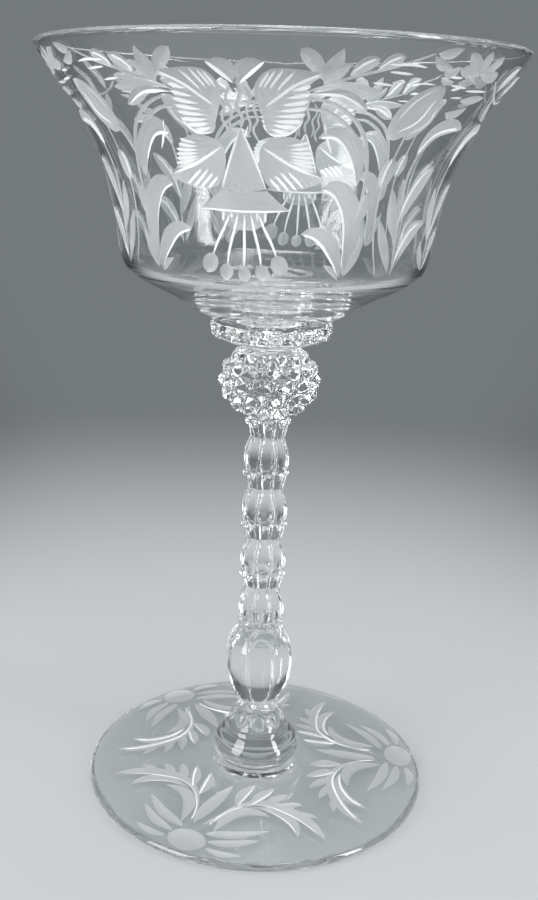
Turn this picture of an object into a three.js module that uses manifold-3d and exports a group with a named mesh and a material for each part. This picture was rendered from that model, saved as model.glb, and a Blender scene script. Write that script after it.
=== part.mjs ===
// Stemmed sherbet glass, in millimetres, +Z up, origin at the centre of the face that it stands on.
// A blown bowl, a pressed stem and a pressed foot, joined while hot. The stem comes in the sections that its
// mould gives it: beaded collar, hobnail ball, four panelled lengths, bead ring, ribbed baluster, rosette and bell.
import * as THREE from "three";
import { mergeVertices } from "three/addons/utils/BufferGeometryUtils.js";
import Module from "manifold-3d";

const wasm = await Module();
wasm.setup();

// Driving dimensions
const HEIGHT = 160;
const RIM_RADIUS = 47.7;
const LIP_THICKNESS = 1.2;
const FOOT_RADIUS = 38.5;
const FOOT_EDGE = 2.4;
const PANELS = 8; // flat panels, ribs and beads round the stem
const STEM_TURN = THREE.MathUtils.degToRad(4.5); // the mould's panels against the front of the cut pattern
const RING_PITCH = 11.72; // height from one bead ring of the column to the next
const LENGTHS = 4; // panelled lengths of the column

// Heights where one section ends and the next begins
const FOOT_TOP = 5; // crown of the foot, under the bell
const BELL_TOP = 12.6;
const ROSETTE_TOP = 17.2;
const BALUSTER_TOP = 36.9;
const COLUMN_BOTTOM = 39.6;
const COLUMN_TOP = COLUMN_BOTTOM + LENGTHS * RING_PITCH;
const BALL_TOP = 100.6;
const BOWL_SEAT = 107.2;

// Neck radii that two sections share
const BELL_FOOT_RADIUS = 8.7;
const BELL_NECK_RADIUS = 6.9;
const ROSETTE_NECK_RADIUS = 4.7;
const BALUSTER_NECK_RADIUS = 4.65;
const COLUMN_NECK_RADIUS = 4.7;
const BALL_NECK_RADIUS = 5.3;
const BOWL_SEAT_RADIUS = 12.1;

const GLASS_COLOUR = 0xe4ebea;

// Named Mesh in clear pressed glass.
function glass(name, geometry) {
  const material = new THREE.MeshStandardMaterial({ color: GLASS_COLOUR, roughness: 0.04, metalness: 0 });
  const mesh = new THREE.Mesh(geometry, material);
  mesh.name = name;
  return mesh;
}

// Solid of revolution about Z from a profile of [radius, height] points.
function revolve(profile, segments) {
  const points = profile.map(([radius, height]) => new THREE.Vector2(radius, height));
  return new THREE.LatheGeometry(points, segments).rotateX(Math.PI / 2);
}

// Smooth profile through [radius, height] points, in steps of even length.
function smooth(points, steps) {
  const curve = new THREE.SplineCurve(points.map(([radius, height]) => new THREE.Vector2(radius, height)));
  return curve.getSpacedPoints(steps).map((p) => [p.x, p.y]);
}

// Closed body over rings of points of equal count, lowest ring first, with a flat cap at each end.
function loft(rings) {
  const around = rings[0].length;
  const positions = rings.flat().flatMap((p) => [p.x, p.y, p.z]);
  const faces = [];
  for (let row = 0; row + 1 < rings.length; row++) {
    for (let i = 0; i < around; i++) {
      const [a, b] = [row * around + i, row * around + ((i + 1) % around)];
      faces.push(a, b, b + around, a, b + around, a + around);
    }
  }
  const [low, high] = [positions.length / 3, positions.length / 3 + 1];
  const top = (rings.length - 1) * around;
  positions.push(0, 0, rings[0][0].z, 0, 0, rings.at(-1)[0].z);
  for (let i = 0; i < around; i++) {
    const next = (i + 1) % around;
    faces.push(low, next, i, high, top + i, top + next);
  }
  const geometry = new THREE.BufferGeometry();
  geometry.setAttribute("position", new THREE.Float32BufferAttribute(positions, 3));
  geometry.setIndex(faces);
  return geometry;
}

// A solid that manifold-3d can join, from any closed geometry.
function solid(geometry) {
  const bare = geometry.clone();
  bare.deleteAttribute("normal");
  bare.deleteAttribute("uv");
  const merged = mergeVertices(bare, 1e-5);
  const index = merged.index.array;
  const triVerts = [];
  for (let i = 0; i < index.length; i += 3) {
    const [a, b, c] = [index[i], index[i + 1], index[i + 2]];
    if (a !== b && b !== c && c !== a) triVerts.push(a, b, c);
  }
  const vertProperties = new Float32Array(merged.attributes.position.array);
  return new wasm.Manifold(new wasm.Mesh({ numProp: 3, vertProperties, triVerts: new Uint32Array(triVerts) }));
}

// A body joined with others into one closed geometry.
function join(body, ...others) {
  const joined = others.reduce((sum, other) => sum.add(solid(other)), solid(body));
  const mesh = joined.getMesh();
  const geometry = new THREE.BufferGeometry();
  geometry.setAttribute("position", new THREE.Float32BufferAttribute(mesh.vertProperties, 3));
  geometry.setIndex(Array.from(mesh.triVerts));
  return geometry;
}

// Beads set evenly in a ring; each is an ellipsoid of half-sizes [outward, sideways, upward], tilted down by lean.
function beadRing(count, ringRadius, height, halfSizes, lean = 0) {
  return Array.from({ length: count }, (_, i) => {
    const bead = new THREE.SphereGeometry(1, 8, 5).rotateZ(-Math.PI / 2);
    bead.scale(...halfSizes).rotateY(lean).translate(ringRadius, 0, height);
    return bead.rotateZ((i / count) * 2 * Math.PI - Math.PI / 2);
  });
}

// Radius factor of a flat panel with rounded edges; turn runs from 0 at the panel's middle to 0.5 at its edge.
function panelFactor(turn) {
  const angle = (turn * 2 * Math.PI) / PANELS;
  const edge = 1.045; // where the rounding cuts the corner of the octagon
  return Math.min(1 / Math.cos(angle), edge);
}

// Section ring of the column: the panels' points at a height, panel middles at the front and every eighth turn.
function panelRing(radius, height) {
  const turns = [-0.36, 0.36, 0.5];
  const points = [];
  for (let panel = 0; panel < PANELS; panel++) {
    for (const turn of turns) {
      const angle = ((panel + turn) / PANELS) * 2 * Math.PI - Math.PI / 2;
      const r = (radius * panelFactor(Math.abs(turn))) / 1.02;
      points.push(new THREE.Vector3(r * Math.cos(angle), r * Math.sin(angle), height));
    }
  }
  return points;
}

// Section ring of the ribbed baluster: a flute in each panel's middle and a round rib between panels.
function ribRing(radius, height, depth) {
  const stations = [-0.34, 0, 0.34, 0.43, 0.57];
  const points = [];
  for (let panel = 0; panel < PANELS; panel++) {
    for (const station of stations) {
      const angle = ((panel + station) / PANELS) * 2 * Math.PI - Math.PI / 2;
      const fluted = Math.abs(station) < 0.4;
      const r = radius - (fluted ? depth : 0);
      points.push(new THREE.Vector3(r * Math.cos(angle), r * Math.sin(angle), height));
    }
  }
  return points;
}

// Outer wall of the bowl from its seat on the collar: conical underside, round shoulder, bell-shaped flare.
const BOWL_WALL = [
  [BOWL_SEAT_RADIUS, BOWL_SEAT],
  [16, 109.1],
  [21, 112.2],
  [26.4, 114.9],
  [29.8, 117.1],
  [31.3, 120.2],
  [32.1, 125.2],
  [33.8, 133.8],
  [36.4, 141],
  [40.4, 148.5],
  [44.6, 154.3],
  [RIM_RADIUS - 0.25, HEIGHT - 1.3],
];

// Blown bowl: the wall thickens from the lip down to a solid bottom.
function bowl() {
  const bottomThickness = 2.3;
  const shoulderThickness = 1.7;
  const outer = smooth(BOWL_WALL, 19);
  const inner = [];
  for (let i = outer.length - 1; i > 2; i--) {
    const [before, after] = [outer[i - 1], outer[Math.min(i + 1, outer.length - 1)]];
    const along = new THREE.Vector2(after[0] - before[0], after[1] - before[1]).normalize();
    const share = i / (outer.length - 1);
    const thickness = THREE.MathUtils.lerp(shoulderThickness + 0.3, LIP_THICKNESS, Math.min(1, share * 1.6));
    inner.push([outer[i][0] - along.y * thickness, outer[i][1] + along.x * thickness]);
  }
  const floorHeight = BOWL_SEAT + bottomThickness;
  const lipMiddle = RIM_RADIUS - LIP_THICKNESS / 2;
  const lip = [
    [RIM_RADIUS, HEIGHT - 0.6],
    [lipMiddle + 0.3, HEIGHT],
    [lipMiddle - 0.3, HEIGHT],
    [RIM_RADIUS - LIP_THICKNESS, HEIGHT - 0.5],
  ];
  const floor = [[14.5, floorHeight + 1.7], [8, floorHeight + 0.4], [0, floorHeight]];
  return revolve([[0, BOWL_SEAT], ...outer, ...lip, ...inner, ...floor], 44);
}

// Collar disc under the bowl, its round edge set with a ring of beads.
function beadCollar() {
  const beads = PANELS * 2;
  const profile = [
    [0, BALL_TOP],
    [BALL_NECK_RADIUS, BALL_TOP],
    [5.6, 101.3],
    [7, 102],
    [10.4, 102.9],
    [11.6, 103.7],
    [12.2, 104.7],
    [12.35, 105.7],
    [12.25, 106.6],
    [BOWL_SEAT_RADIUS, BOWL_SEAT],
    [0, BOWL_SEAT],
  ];
  const lean = THREE.MathUtils.degToRad(12);
  return join(revolve(profile, 28), ...beadRing(beads, 11.95, 105.3, [0.75, 1.75, 1.4], lean));
}

// Ball covered in staggered rows of pointed hobnails. Each is a six-sided peak over its own cell of the ball.
function hobnailBall() {
  const rows = 5;
  const around = PANELS * 2;
  const halfWidth = 9.75;
  const halfHeight = 7.45;
  const middle = 94.1;
  const peak = 1.1;
  const rowStep = THREE.MathUtils.degToRad(22.5);
  const onBall = (latitude, turn, rise) => {
    const angle = (turn / around) * 2 * Math.PI - Math.PI / 2;
    const r = (halfWidth + rise) * Math.cos(latitude);
    return new THREE.Vector3(r * Math.cos(angle), r * Math.sin(angle), middle + (halfHeight + rise) * Math.sin(latitude));
  };
  const latitudeOf = (row) => (row - (rows - 1) / 2) * rowStep;
  const stagger = (row) => (row % 2) / 2;
  // Corner of the cells between a row and the next, at half steps round the ball
  const corner = (row, halfStep) => {
    const under = (((halfStep / 2 - stagger(row)) % 1) + 1) % 1 < 0.25;
    return onBall(latitudeOf(row) + rowStep * (under ? 2 / 3 : 1 / 3), halfStep / 2, 0);
  };
  const triangles = [];
  const face = (a, b, c) => triangles.push(a, b, c);
  for (let row = 0; row < rows; row++) {
    for (let i = 0; i < around; i++) {
      const turn = i + stagger(row);
      const first = Math.round(turn * 2);
      const cell = [
        ...[-1, 0, 1].map((k) => corner(row - 1, first + k)),
        ...[1, 0, -1].map((k) => corner(row, first + k)),
      ];
      const apex = onBall(latitudeOf(row), turn, peak);
      const base = onBall(latitudeOf(row), turn, 0);
      const shoulder = cell.map((p) => {
        const out = base.clone().lerp(apex, 0.72);
        return out.add(p.clone().sub(base).multiplyScalar(0.42));
      });
      cell.forEach((p, k) => {
        const next = (k + 1) % cell.length;
        face(p, cell[next], shoulder[next]);
        face(p, shoulder[next], shoulder[k]);
        face(shoulder[k], shoulder[next], apex);
      });
    }
  }
  // Plain necks above and below the rows, with flat ends
  const neck = (row, height, radius, up) => {
    const steps = around * 2;
    const centre = new THREE.Vector3(0, 0, height);
    for (let i = 0; i < steps; i++) {
      const [a, b] = [corner(row, i), corner(row, (i + 1) % steps)];
      const [c, d] = [a, b].map((p) => p.clone().setZ(0).setLength(radius).setZ(height));
      const quads = up ? [a, b, d, a, d, c, c, d, centre] : [b, a, c, b, c, d, d, c, centre];
      triangles.push(...quads);
    }
  };
  neck(rows - 1, BALL_TOP, BALL_NECK_RADIUS, true);
  neck(-1, COLUMN_TOP, COLUMN_NECK_RADIUS, false);
  const geometry = new THREE.BufferGeometry();
  geometry.setAttribute("position", new THREE.Float32BufferAttribute(triangles.flatMap((p) => [p.x, p.y, p.z]), 3));
  return mergeVertices(geometry, 1e-4);
}

// One panelled length of the column: swell above the ring below, crisp waist, then the bead ring at its top.
function columnLength(index) {
  const top = COLUMN_TOP - index * RING_PITCH;
  const ring = top - 1.3;
  const grow = index * 0.06; // the column thickens a little towards the foot
  const sections = [
    [COLUMN_NECK_RADIUS, top - RING_PITCH],
    [4.85 + grow, ring - 9.3],
    [4.95 + grow, ring - 7.9],
    [4.65 + grow, ring - 5.8],
    [3.9 + grow, ring - 3.6],
    [4.45 + grow, ring - 1.5],
    [4.75 + grow, ring],
    [COLUMN_NECK_RADIUS, top],
  ];
  const body = loft(sections.map(([radius, height]) => panelRing(radius, height)));
  return join(body, ...beadRing(PANELS, 4.55 + grow, ring, [0.8, 0.95, 0.95]));
}

// Ring of larger beads, nearly touching, between the column and the baluster.
function neckBeadRing() {
  const middle = (BALUSTER_TOP + COLUMN_BOTTOM) / 2;
  const profile = [
    [0, BALUSTER_TOP],
    [BALUSTER_NECK_RADIUS, BALUSTER_TOP],
    [4.6, middle],
    [COLUMN_NECK_RADIUS, COLUMN_BOTTOM],
    [0, COLUMN_BOTTOM],
  ];
  return join(revolve(profile, 24), ...beadRing(PANELS, 4.2, middle, [1.2, 1.3, 1.15]));
}

// Inverted-pear baluster with eight round ribs and flat flutes between them.
function baluster() {
  const span = BALUSTER_TOP - ROSETTE_TOP;
  const outline = [
    [ROSETTE_NECK_RADIUS, 0],
    [5, 0.12],
    [6.3, 0.25],
    [7.3, 0.4],
    [7.9, 0.58],
    [7.75, 0.72],
    [6.9, 0.84],
    [5.6, 0.94],
    [BALUSTER_NECK_RADIUS, 1],
  ];
  const rings = outline.map(([radius, share], row) => {
    const flute = row === 0 || row === outline.length - 1 ? 0 : 0.09 * radius;
    return ribRing(radius, ROSETTE_TOP + share * span, flute);
  });
  return loft(rings);
}

// Rosette of large beads round the neck between the baluster and the bell.
function footRosette() {
  const profile = [
    [0, BELL_TOP],
    [BELL_NECK_RADIUS, BELL_TOP],
    [6.2, 13.4],
    [5.2, 15],
    [ROSETTE_NECK_RADIUS, ROSETTE_TOP],
    [0, ROSETTE_TOP],
  ];
  return join(revolve(profile, 24), ...beadRing(PANELS, 4.6, 15, [1.55, 1.65, 1.6]));
}

// Bell that carries the stem, tucked in where it meets the crown of the foot.
function footBell() {
  const side = smooth([[BELL_FOOT_RADIUS, FOOT_TOP], [9.55, 6.2], [9.75, 7.8], [9.1, 9.6], [7.8, 11.3]], 7);
  return revolve([[0, FOOT_TOP], ...side, [BELL_NECK_RADIUS, BELL_TOP], [0, BELL_TOP]], 40);
}

// Pressed disc foot: low cone on top, round edge, ground standing ring and shallow dish beneath.
function foot() {
  const ringInner = 30;
  const ringOuter = 36.6;
  const dish = 1;
  const top = smooth([[FOOT_RADIUS - 1, FOOT_EDGE], [30, 2.75], [20, 3.4], [12, 4.2], [9.6, FOOT_TOP]], 6);
  const profile = [
    [0, dish],
    [ringInner - 5, dish],
    [ringInner, 0],
    [ringOuter, 0],
    [FOOT_RADIUS - 0.7, 0.35],
    [FOOT_RADIUS, 1.2],
    [FOOT_RADIUS - 0.3, 2],
    ...top,
    [0, FOOT_TOP],
  ];
  return revolve(profile, 56);
}

const stem = new THREE.Group();
stem.rotation.z = STEM_TURN;
stem.add(glass("bead_collar", beadCollar()), glass("hobnail_ball", hobnailBall()));
for (let index = 0; index < LENGTHS; index++) {
  stem.add(glass(`column_length_${index + 1}`, columnLength(index)));
}
stem.add(glass("neck_bead_ring", neckBeadRing()), glass("ribbed_baluster", baluster()));
stem.add(glass("foot_rosette", footRosette()), glass("foot_bell", footBell()));

const sherbetGlass = new THREE.Group();
sherbetGlass.add(glass("bowl", bowl()), stem, glass("foot", foot()));

export default sherbetGlass;
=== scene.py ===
"""Looks of a stemmed sherbet glass: blown bowl and pressed foot with grey wheel cutting, on a pressed stem.

Every piece stands where its solid in the frame stands. Sizes are in millimetres until a mesh is made.
"""

from __future__ import annotations

import logging
import math
from abc import ABC, abstractmethod
from dataclasses import dataclass, field, replace
from enum import Enum
from typing import Any, Sequence

import bpy
import numpy as np
from mathutils import Matrix, Vector
from mathutils.geometry import delaunay_2d_cdt
from mathutils.kdtree import KDTree

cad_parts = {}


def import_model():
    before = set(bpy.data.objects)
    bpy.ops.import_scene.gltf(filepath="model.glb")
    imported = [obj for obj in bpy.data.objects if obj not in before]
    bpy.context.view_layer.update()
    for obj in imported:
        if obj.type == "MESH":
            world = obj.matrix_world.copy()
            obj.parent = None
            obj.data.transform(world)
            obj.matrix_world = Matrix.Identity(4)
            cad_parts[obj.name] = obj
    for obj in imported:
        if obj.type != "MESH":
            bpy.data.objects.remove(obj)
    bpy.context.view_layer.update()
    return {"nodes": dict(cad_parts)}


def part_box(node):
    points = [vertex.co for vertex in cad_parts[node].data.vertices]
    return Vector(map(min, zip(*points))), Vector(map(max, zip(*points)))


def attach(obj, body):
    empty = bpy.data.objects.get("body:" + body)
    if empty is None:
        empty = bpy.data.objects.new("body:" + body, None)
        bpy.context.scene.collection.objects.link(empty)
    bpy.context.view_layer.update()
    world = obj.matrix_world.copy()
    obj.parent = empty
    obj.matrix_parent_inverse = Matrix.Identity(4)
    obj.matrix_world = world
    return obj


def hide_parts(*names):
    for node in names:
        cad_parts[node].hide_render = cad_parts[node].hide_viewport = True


MM = 0.001
FRONT = -math.pi / 2  # the direction of -Y, from which turns round the axis are counted
IMAGE_WIDTH = 538
IMAGE_HEIGHT = 900
STEM_TURN = math.radians(4.5)  # the stem mould's panels against the front of the cut pattern
PANELS = 8
LENGTHS = 4
SPAN_STEPS = 24  # points that a curve is worked out at between two of its knots
TINY = 1e-9  # keeps a length that is divided by above zero

LOG = logging.getLogger("sherbet_glass")
Point = tuple[float, float]
Spans = Sequence[Sequence[Point]]
Materials = Sequence[bpy.types.Material]
Tree = bpy.types.NodeTree
Socket = bpy.types.NodeSocket


def linear(colour: str) -> tuple[float, float, float, float]:
    """Turns an sRGB hex colour into linear light.

    Args:
        colour: A colour such as "#C8CACB".

    Returns:
        Red, green, blue and an alpha of 1.
    """
    channels = [int(colour[i : i + 2], 16) / 255 for i in (1, 3, 5)]
    light = [c / 12.92 if c <= 0.04045 else ((c + 0.055) / 1.055) ** 2.4 for c in channels]
    return (light[0], light[1], light[2], 1.0)


def add_node(tree: Tree, kind: str, inputs: dict[Any, Any], **settings: Any) -> bpy.types.Node:
    """Adds a node with its settings and links.

    Args:
        tree: The node tree that the node joins.
        kind: The node's type without "ShaderNode", such as "Bump".
        inputs: For each input, by name or number, a socket to link or a value to set.
        **settings: Attributes of the node.

    Returns:
        The new node.
    """
    node = tree.nodes.new("ShaderNode" + kind)
    for name, value in settings.items():
        setattr(node, name, value)
    for name, value in inputs.items():
        if isinstance(value, Socket):
            tree.links.new(value, node.inputs[name])
        else:
            node.inputs[name].default_value = value
    return node


class Surface(Enum):
    """The finishes of a piece, numbered as its material slots."""

    POLISHED = 0
    SEAM = 1
    SATIN = 2
    MITRE = 3


def open_material(name: str) -> tuple[bpy.types.Material, Tree]:
    """Makes an empty node material.

    Args:
        name: The material's name.

    Returns:
        The material and its node tree, with no nodes in it.
    """
    material = bpy.data.materials.new(name)
    material.use_nodes = True
    material.node_tree.nodes.clear()
    return material, material.node_tree


@dataclass(frozen=True)
class Crystal(ABC):
    """Crystal glass, clear and faintly cool. Each finish says how its surface was made."""

    name: str
    tint: str
    lamp_tint: str  # what lamp light keeps when it goes through
    roughness: float
    bump_strength: float
    bump_depth: float  # mm
    clear_share: float = 1.0  # of the light that enters, the part that goes on through
    ior: float = 1.52
    slant_tint: str = "#CBCDCE"  # what lamp light keeps where it goes through aslant
    slant_blend: float = 0.2

    @abstractmethod
    def texture(self, tree: Tree) -> tuple[Socket, Socket | float]:
        """Adds the texture that the making left on the surface.

        Args:
            tree: The material's tree.

        Returns:
            The height for the bump, and the roughness.
        """

    def build(self) -> bpy.types.Material:
        """Makes the material, which lets lamps light what is behind it, as clear glass does.

        Returns:
            The material.
        """
        material, tree = open_material(self.name)
        height, roughness = self.texture(tree)
        depth = self.bump_depth * MM
        bump = add_node(tree, "Bump", {"Strength": self.bump_strength, "Distance": depth, "Height": height})
        inputs = {
            "Base Color": linear(self.tint),
            "Roughness": roughness,
            "IOR": self.ior,
            "Transmission Weight": self.clear_share,
            "Normal": bump.outputs["Normal"],
        }
        glass = add_node(tree, "BsdfPrincipled", inputs).outputs[0]
        path = add_node(tree, "LightPath", {}).outputs
        unseen = add_node(
            tree, "Math", {0: path["Is Shadow Ray"], 1: path["Is Diffuse Ray"]}, operation="MAXIMUM"
        )
        slant = add_node(tree, "LayerWeight", {"Blend": self.slant_blend}).outputs["Facing"]
        kept = {0: slant, 6: linear(self.lamp_tint), 7: linear(self.slant_tint)}
        colour = add_node(tree, "Mix", kept, data_type="RGBA").outputs[2]
        clear = add_node(tree, "BsdfTransparent", {"Color": colour}).outputs[0]
        mixed = add_node(tree, "MixShader", {0: unseen.outputs[0], 1: glass, 2: clear})
        add_node(tree, "OutputMaterial", {"Surface": mixed.outputs[0]})
        return material


@dataclass(frozen=True)
class FirePolishedCrystal(Crystal):
    """Crystal pressed in an iron mould or blown, and fire-polished.

    Reheating melts the mould's marks away, so the surface mirrors sharply but keeps a faint ripple that makes
    the highlights wander.
    """

    name: str = "FirePolishedCrystal"
    tint: str = "#FDFEFE"
    lamp_tint: str = "#F8F9F9"
    roughness: float = 0.012
    bump_strength: float = 0.03
    bump_depth: float = 0.1
    ripple_spacing: float = 4.5  # mm

    def texture(self, tree: Tree) -> tuple[Socket, Socket | float]:
        """Adds the ripple.

        Args:
            tree: The material's tree.

        Returns:
            Its height, and the even roughness.
        """
        place = add_node(tree, "TexCoord", {}).outputs["Object"]
        scale = 1 / (self.ripple_spacing * MM)
        noise = {"Vector": place, "Scale": scale, "Detail": 1.0, "Roughness": 0.4}
        return add_node(tree, "TexNoise", noise).outputs["Fac"], self.roughness


@dataclass(frozen=True)
class SatinCut(Crystal):
    """Crystal ground with a fine stone wheel and left unpolished, called grey cutting.

    The ground skin scatters light, so the cut reads as a soft pale grey veil with the wheel's fine lines.
    """

    name: str = "GreyWheelCutting"
    tint: str = "#F4F6F8"
    lamp_tint: str = "#C4C7C7"
    roughness: float = 0.42
    bump_strength: float = 0.65
    bump_depth: float = 0.22
    clear_share: float = 0.71
    line_spacing: float = 0.34  # mm; the real grit is finer, and drawn coarse enough to show
    line_slimness: float = 0.16  # a line's width over its length
    noise_reach: Point = (0.3, 0.7)  # what most of the noise lies between
    roughness_reach: Point = (-0.08, 0.1)

    def texture(self, tree: Tree) -> tuple[Socket, Socket | float]:
        """Adds the wheel's lines. They follow the UV map, in mm along and across the wheel's stroke.

        Args:
            tree: The material's tree.

        Returns:
            Their height, and a roughness that varies with them.
        """
        place = add_node(tree, "UVMap", {}, uv_map="stroke").outputs[0]
        scale = (self.line_slimness / self.line_spacing, 1 / self.line_spacing, 1.0)
        stretched = add_node(tree, "Mapping", {"Vector": place, "Scale": scale}).outputs[0]
        noise = {"Vector": stretched, "Scale": 1.0, "Detail": 2.0, "Roughness": 0.6}
        lines = add_node(tree, "TexNoise", noise).outputs["Fac"]
        limits = [*self.noise_reach, *(self.roughness + change for change in self.roughness_reach)]
        names = ("From Min", "From Max", "To Min", "To Max")
        coarse = add_node(tree, "MapRange", {"Value": lines, **dict(zip(names, limits))})
        return lines, coarse.outputs["Result"]


@dataclass(frozen=True)
class MitreCut(Crystal):
    """Crystal cut with the sharp edge of a mitre wheel, in narrow V grooves.

    The V groove and its grain are modelled; its opaque near-white colour, brighter than the satin, is a
    painted highlight for the light that its two steep walls throw back, so each groove reads as a thin bright
    line.
    """

    name: str = "MitreLinePaintedHighlight"
    # painted highlight: the groove is opaque and near-white, brighter than the satin
    tint: str = "#FCFEFE"
    lamp_tint: str = "#9DA2A2"
    roughness: float = 0.5
    bump_strength: float = 0.3
    bump_depth: float = 0.08
    # nothing goes through, so the near-white tint shows whole, as painted highlight
    clear_share: float = 0.0
    grain: float = 2.4  # grains in a mm of groove

    def texture(self, tree: Tree) -> tuple[Socket, Socket | float]:
        """Adds the grain of the groove's walls.

        Args:
            tree: The material's tree.

        Returns:
            Its height, and the even roughness.
        """
        place = add_node(tree, "UVMap", {}, uv_map="stroke").outputs[0]
        grain = add_node(tree, "TexNoise", {"Vector": place, "Scale": self.grain, "Detail": 2.0})
        return grain.outputs["Fac"], self.roughness


@dataclass(frozen=True)
class HotSeam:
    """Crystal fused to crystal while hot, so no face is left between two sections and nothing shows there."""

    name: str = "HotFusedSeam"

    def build(self) -> bpy.types.Material:
        """Makes the material.

        Returns:
            The material.
        """
        material, tree = open_material(self.name)
        clear = add_node(tree, "BsdfTransparent", {"Color": (1.0, 1.0, 1.0, 1.0)})
        add_node(tree, "OutputMaterial", {"Surface": clear.outputs[0]})
        return material


@dataclass(frozen=True)
class Backdrop:
    """The tones of the studio far from the glass: mid-grey before and behind, darker aside and overhead.

    The darker sides give clear glass the dark edges by which the eye reads it.
    """

    # the paper far from the glass also glows in these tones, as painted shade on the floor
    far_colour: str = "#74797C"
    side_colour: str = "#4A4E51"
    ceiling_colour: str = "#484B4D"
    side_from: float = 0.07  # the squared sine of the angle from the line before and behind
    side_to: float = 0.4

    def tone(self, tree: Tree, away: Socket) -> Socket:
        """Works out the tone in a direction.

        Args:
            tree: The tree that the nodes join.
            away: The direction from the glass, of any length.

        Returns:
            The colour's socket.
        """
        split = add_node(tree, "SeparateXYZ", {0: away}).outputs
        x, y = split["X"], split["Y"]
        across = add_node(tree, "Math", {0: x, 1: x}, operation="MULTIPLY").outputs[0]
        reach = add_node(tree, "Math", {0: y, 1: y, 2: across}, operation="MULTIPLY_ADD").outputs[0]
        share = add_node(tree, "Math", {0: across, 1: reach}, operation="DIVIDE").outputs[0]
        limits = {"Value": share, "From Min": self.side_from, "From Max": self.side_to}
        sideways = add_node(tree, "MapRange", limits, interpolation_type="SMOOTHSTEP").outputs["Result"]
        colours = {0: sideways, 6: linear(self.far_colour), 7: linear(self.side_colour)}
        return add_node(tree, "Mix", colours, data_type="RGBA").outputs[2]


@dataclass(frozen=True)
class StudioPaper:
    """Matt paper sweep. Far from the glass, and to either side, it gives way to an emission in the backdrop's
    darker tone: painted shade round the lit pool near the glass, so no horizon shows.
    """

    name: str = "MattStudioPaper"
    colour: str = "#C6C9CB"
    roughness: float = 0.85
    specular_level: float = 0.15
    fibres: float = 900.0  # in a metre
    fibre_strength: float = 0.08
    fibre_depth: float = 0.2  # mm
    fade_from: float = 90.0  # mm from the glass, and to either side of it, where the painted shade begins
    fade_to: float = 360.0
    backdrop: Backdrop = field(default_factory=Backdrop)

    def build(self) -> bpy.types.Material:
        """Makes the material.

        Returns:
            The material.
        """
        material, tree = open_material(self.name)
        place = add_node(tree, "NewGeometry", {}).outputs["Position"]
        away = add_node(tree, "VectorMath", {0: place}, operation="LENGTH").outputs["Value"]
        split = add_node(tree, "SeparateXYZ", {0: place})
        aside = add_node(tree, "Math", {0: split.outputs["X"]}, operation="ABSOLUTE").outputs[0]
        limits = {"From Min": self.fade_from * MM, "From Max": self.fade_to * MM}
        fades = [
            add_node(tree, "MapRange", {"Value": distance, **limits}, interpolation_type="SMOOTHSTEP")
            for distance in (away, aside)
        ]
        farther = {number: fade.outputs["Result"] for number, fade in enumerate(fades)}
        either = add_node(tree, "Math", farther, operation="MAXIMUM").outputs[0]
        fibre = add_node(tree, "TexNoise", {"Vector": place, "Scale": self.fibres, "Detail": 3.0})
        depth = self.fibre_depth * MM
        rough = {"Strength": self.fibre_strength, "Distance": depth, "Height": fibre.outputs["Fac"]}
        inputs = {
            "Base Color": linear(self.colour),
            "Roughness": self.roughness,
            "Specular IOR Level": self.specular_level,
            "Normal": add_node(tree, "Bump", rough).outputs["Normal"],
        }
        paper = add_node(tree, "BsdfPrincipled", inputs).outputs[0]
        # painted shade: far off and to the sides the paper glows in the backdrop's darker tone instead of
        # being lit
        tone = self.backdrop.tone(tree, place)
        painted_glow = add_node(tree, "Emission", {"Color": tone, "Strength": 1.0}).outputs[0]
        mixed = add_node(tree, "MixShader", {0: either, 1: paper, 2: painted_glow})
        add_node(tree, "OutputMaterial", {"Surface": mixed.outputs[0]})
        return material


def arc_length(line: np.ndarray) -> np.ndarray:
    """The distance along a line of points at each of them."""
    return np.concatenate([[0.0], np.cumsum(np.linalg.norm(np.diff(line, axis=0), axis=1))])


def follow(places: np.ndarray, along: np.ndarray, line: np.ndarray) -> np.ndarray:
    """The points of a line at places given by the distance along it."""
    return np.column_stack([np.interp(places, along, line[:, axis]) for axis in (0, 1)])


def spline(points: Sequence[Point], step: float) -> np.ndarray:
    """Draws a smooth curve through points, in even steps.

    Args:
        points: The points that the curve passes through, in mm.
        step: The greatest distance between neighbours on the curve, in mm.

    Returns:
        An array of points, one row each, with both ends kept.
    """
    dense = np.array(points, float)
    if len(dense) > 2:
        padded = np.vstack([dense[0], dense, dense[-1]])
        pieces = []
        for i in range(len(dense) - 1):
            p0, p1, p2, p3 = padded[i : i + 4]
            t = np.linspace(0, 1, SPAN_STEPS, endpoint=False)[:, None]
            half_slope, next_slope = (p2 - p0) / 2, (p3 - p1) / 2
            pieces.append(
                (2 * p1 - 2 * p2 + half_slope + next_slope) * t**3
                + (3 * p2 - 3 * p1 - 2 * half_slope - next_slope) * t**2
                + half_slope * t
                + p1
            )
        dense = np.vstack([*pieces, dense[-1:]])
    along = arc_length(dense)
    count = max(2, math.ceil(along[-1] / step) + 1)
    return follow(np.linspace(0, along[-1], count), along, dense)


def outward(profile: np.ndarray) -> np.ndarray:
    """Works out the normals of a profile.

    Args:
        profile: Radii and heights, with the glass on the left of its run.

    Returns:
        The normals' parts outward and up, one row for each point.
    """
    along = np.gradient(profile, axis=0)
    along /= np.maximum(np.linalg.norm(along, axis=1), TINY)[:, None]
    return np.column_stack([along[:, 1], -along[:, 0]])


def around(profile: np.ndarray, turns: np.ndarray) -> np.ndarray:
    """Turns a profile of radius and height round the axis.

    Args:
        profile: Radii and heights, in mm.
        turns: Angles from the front, in radians, to the right as the viewer sees them.

    Returns:
        Points with the shape (profile points, turns, 3).
    """
    angle = turns + FRONT
    radius, height = profile[:, :1], profile[:, 1:]
    height = np.broadcast_to(height, (len(profile), len(turns)))
    return np.stack([radius * np.cos(angle), radius * np.sin(angle), height], axis=-1)


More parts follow.
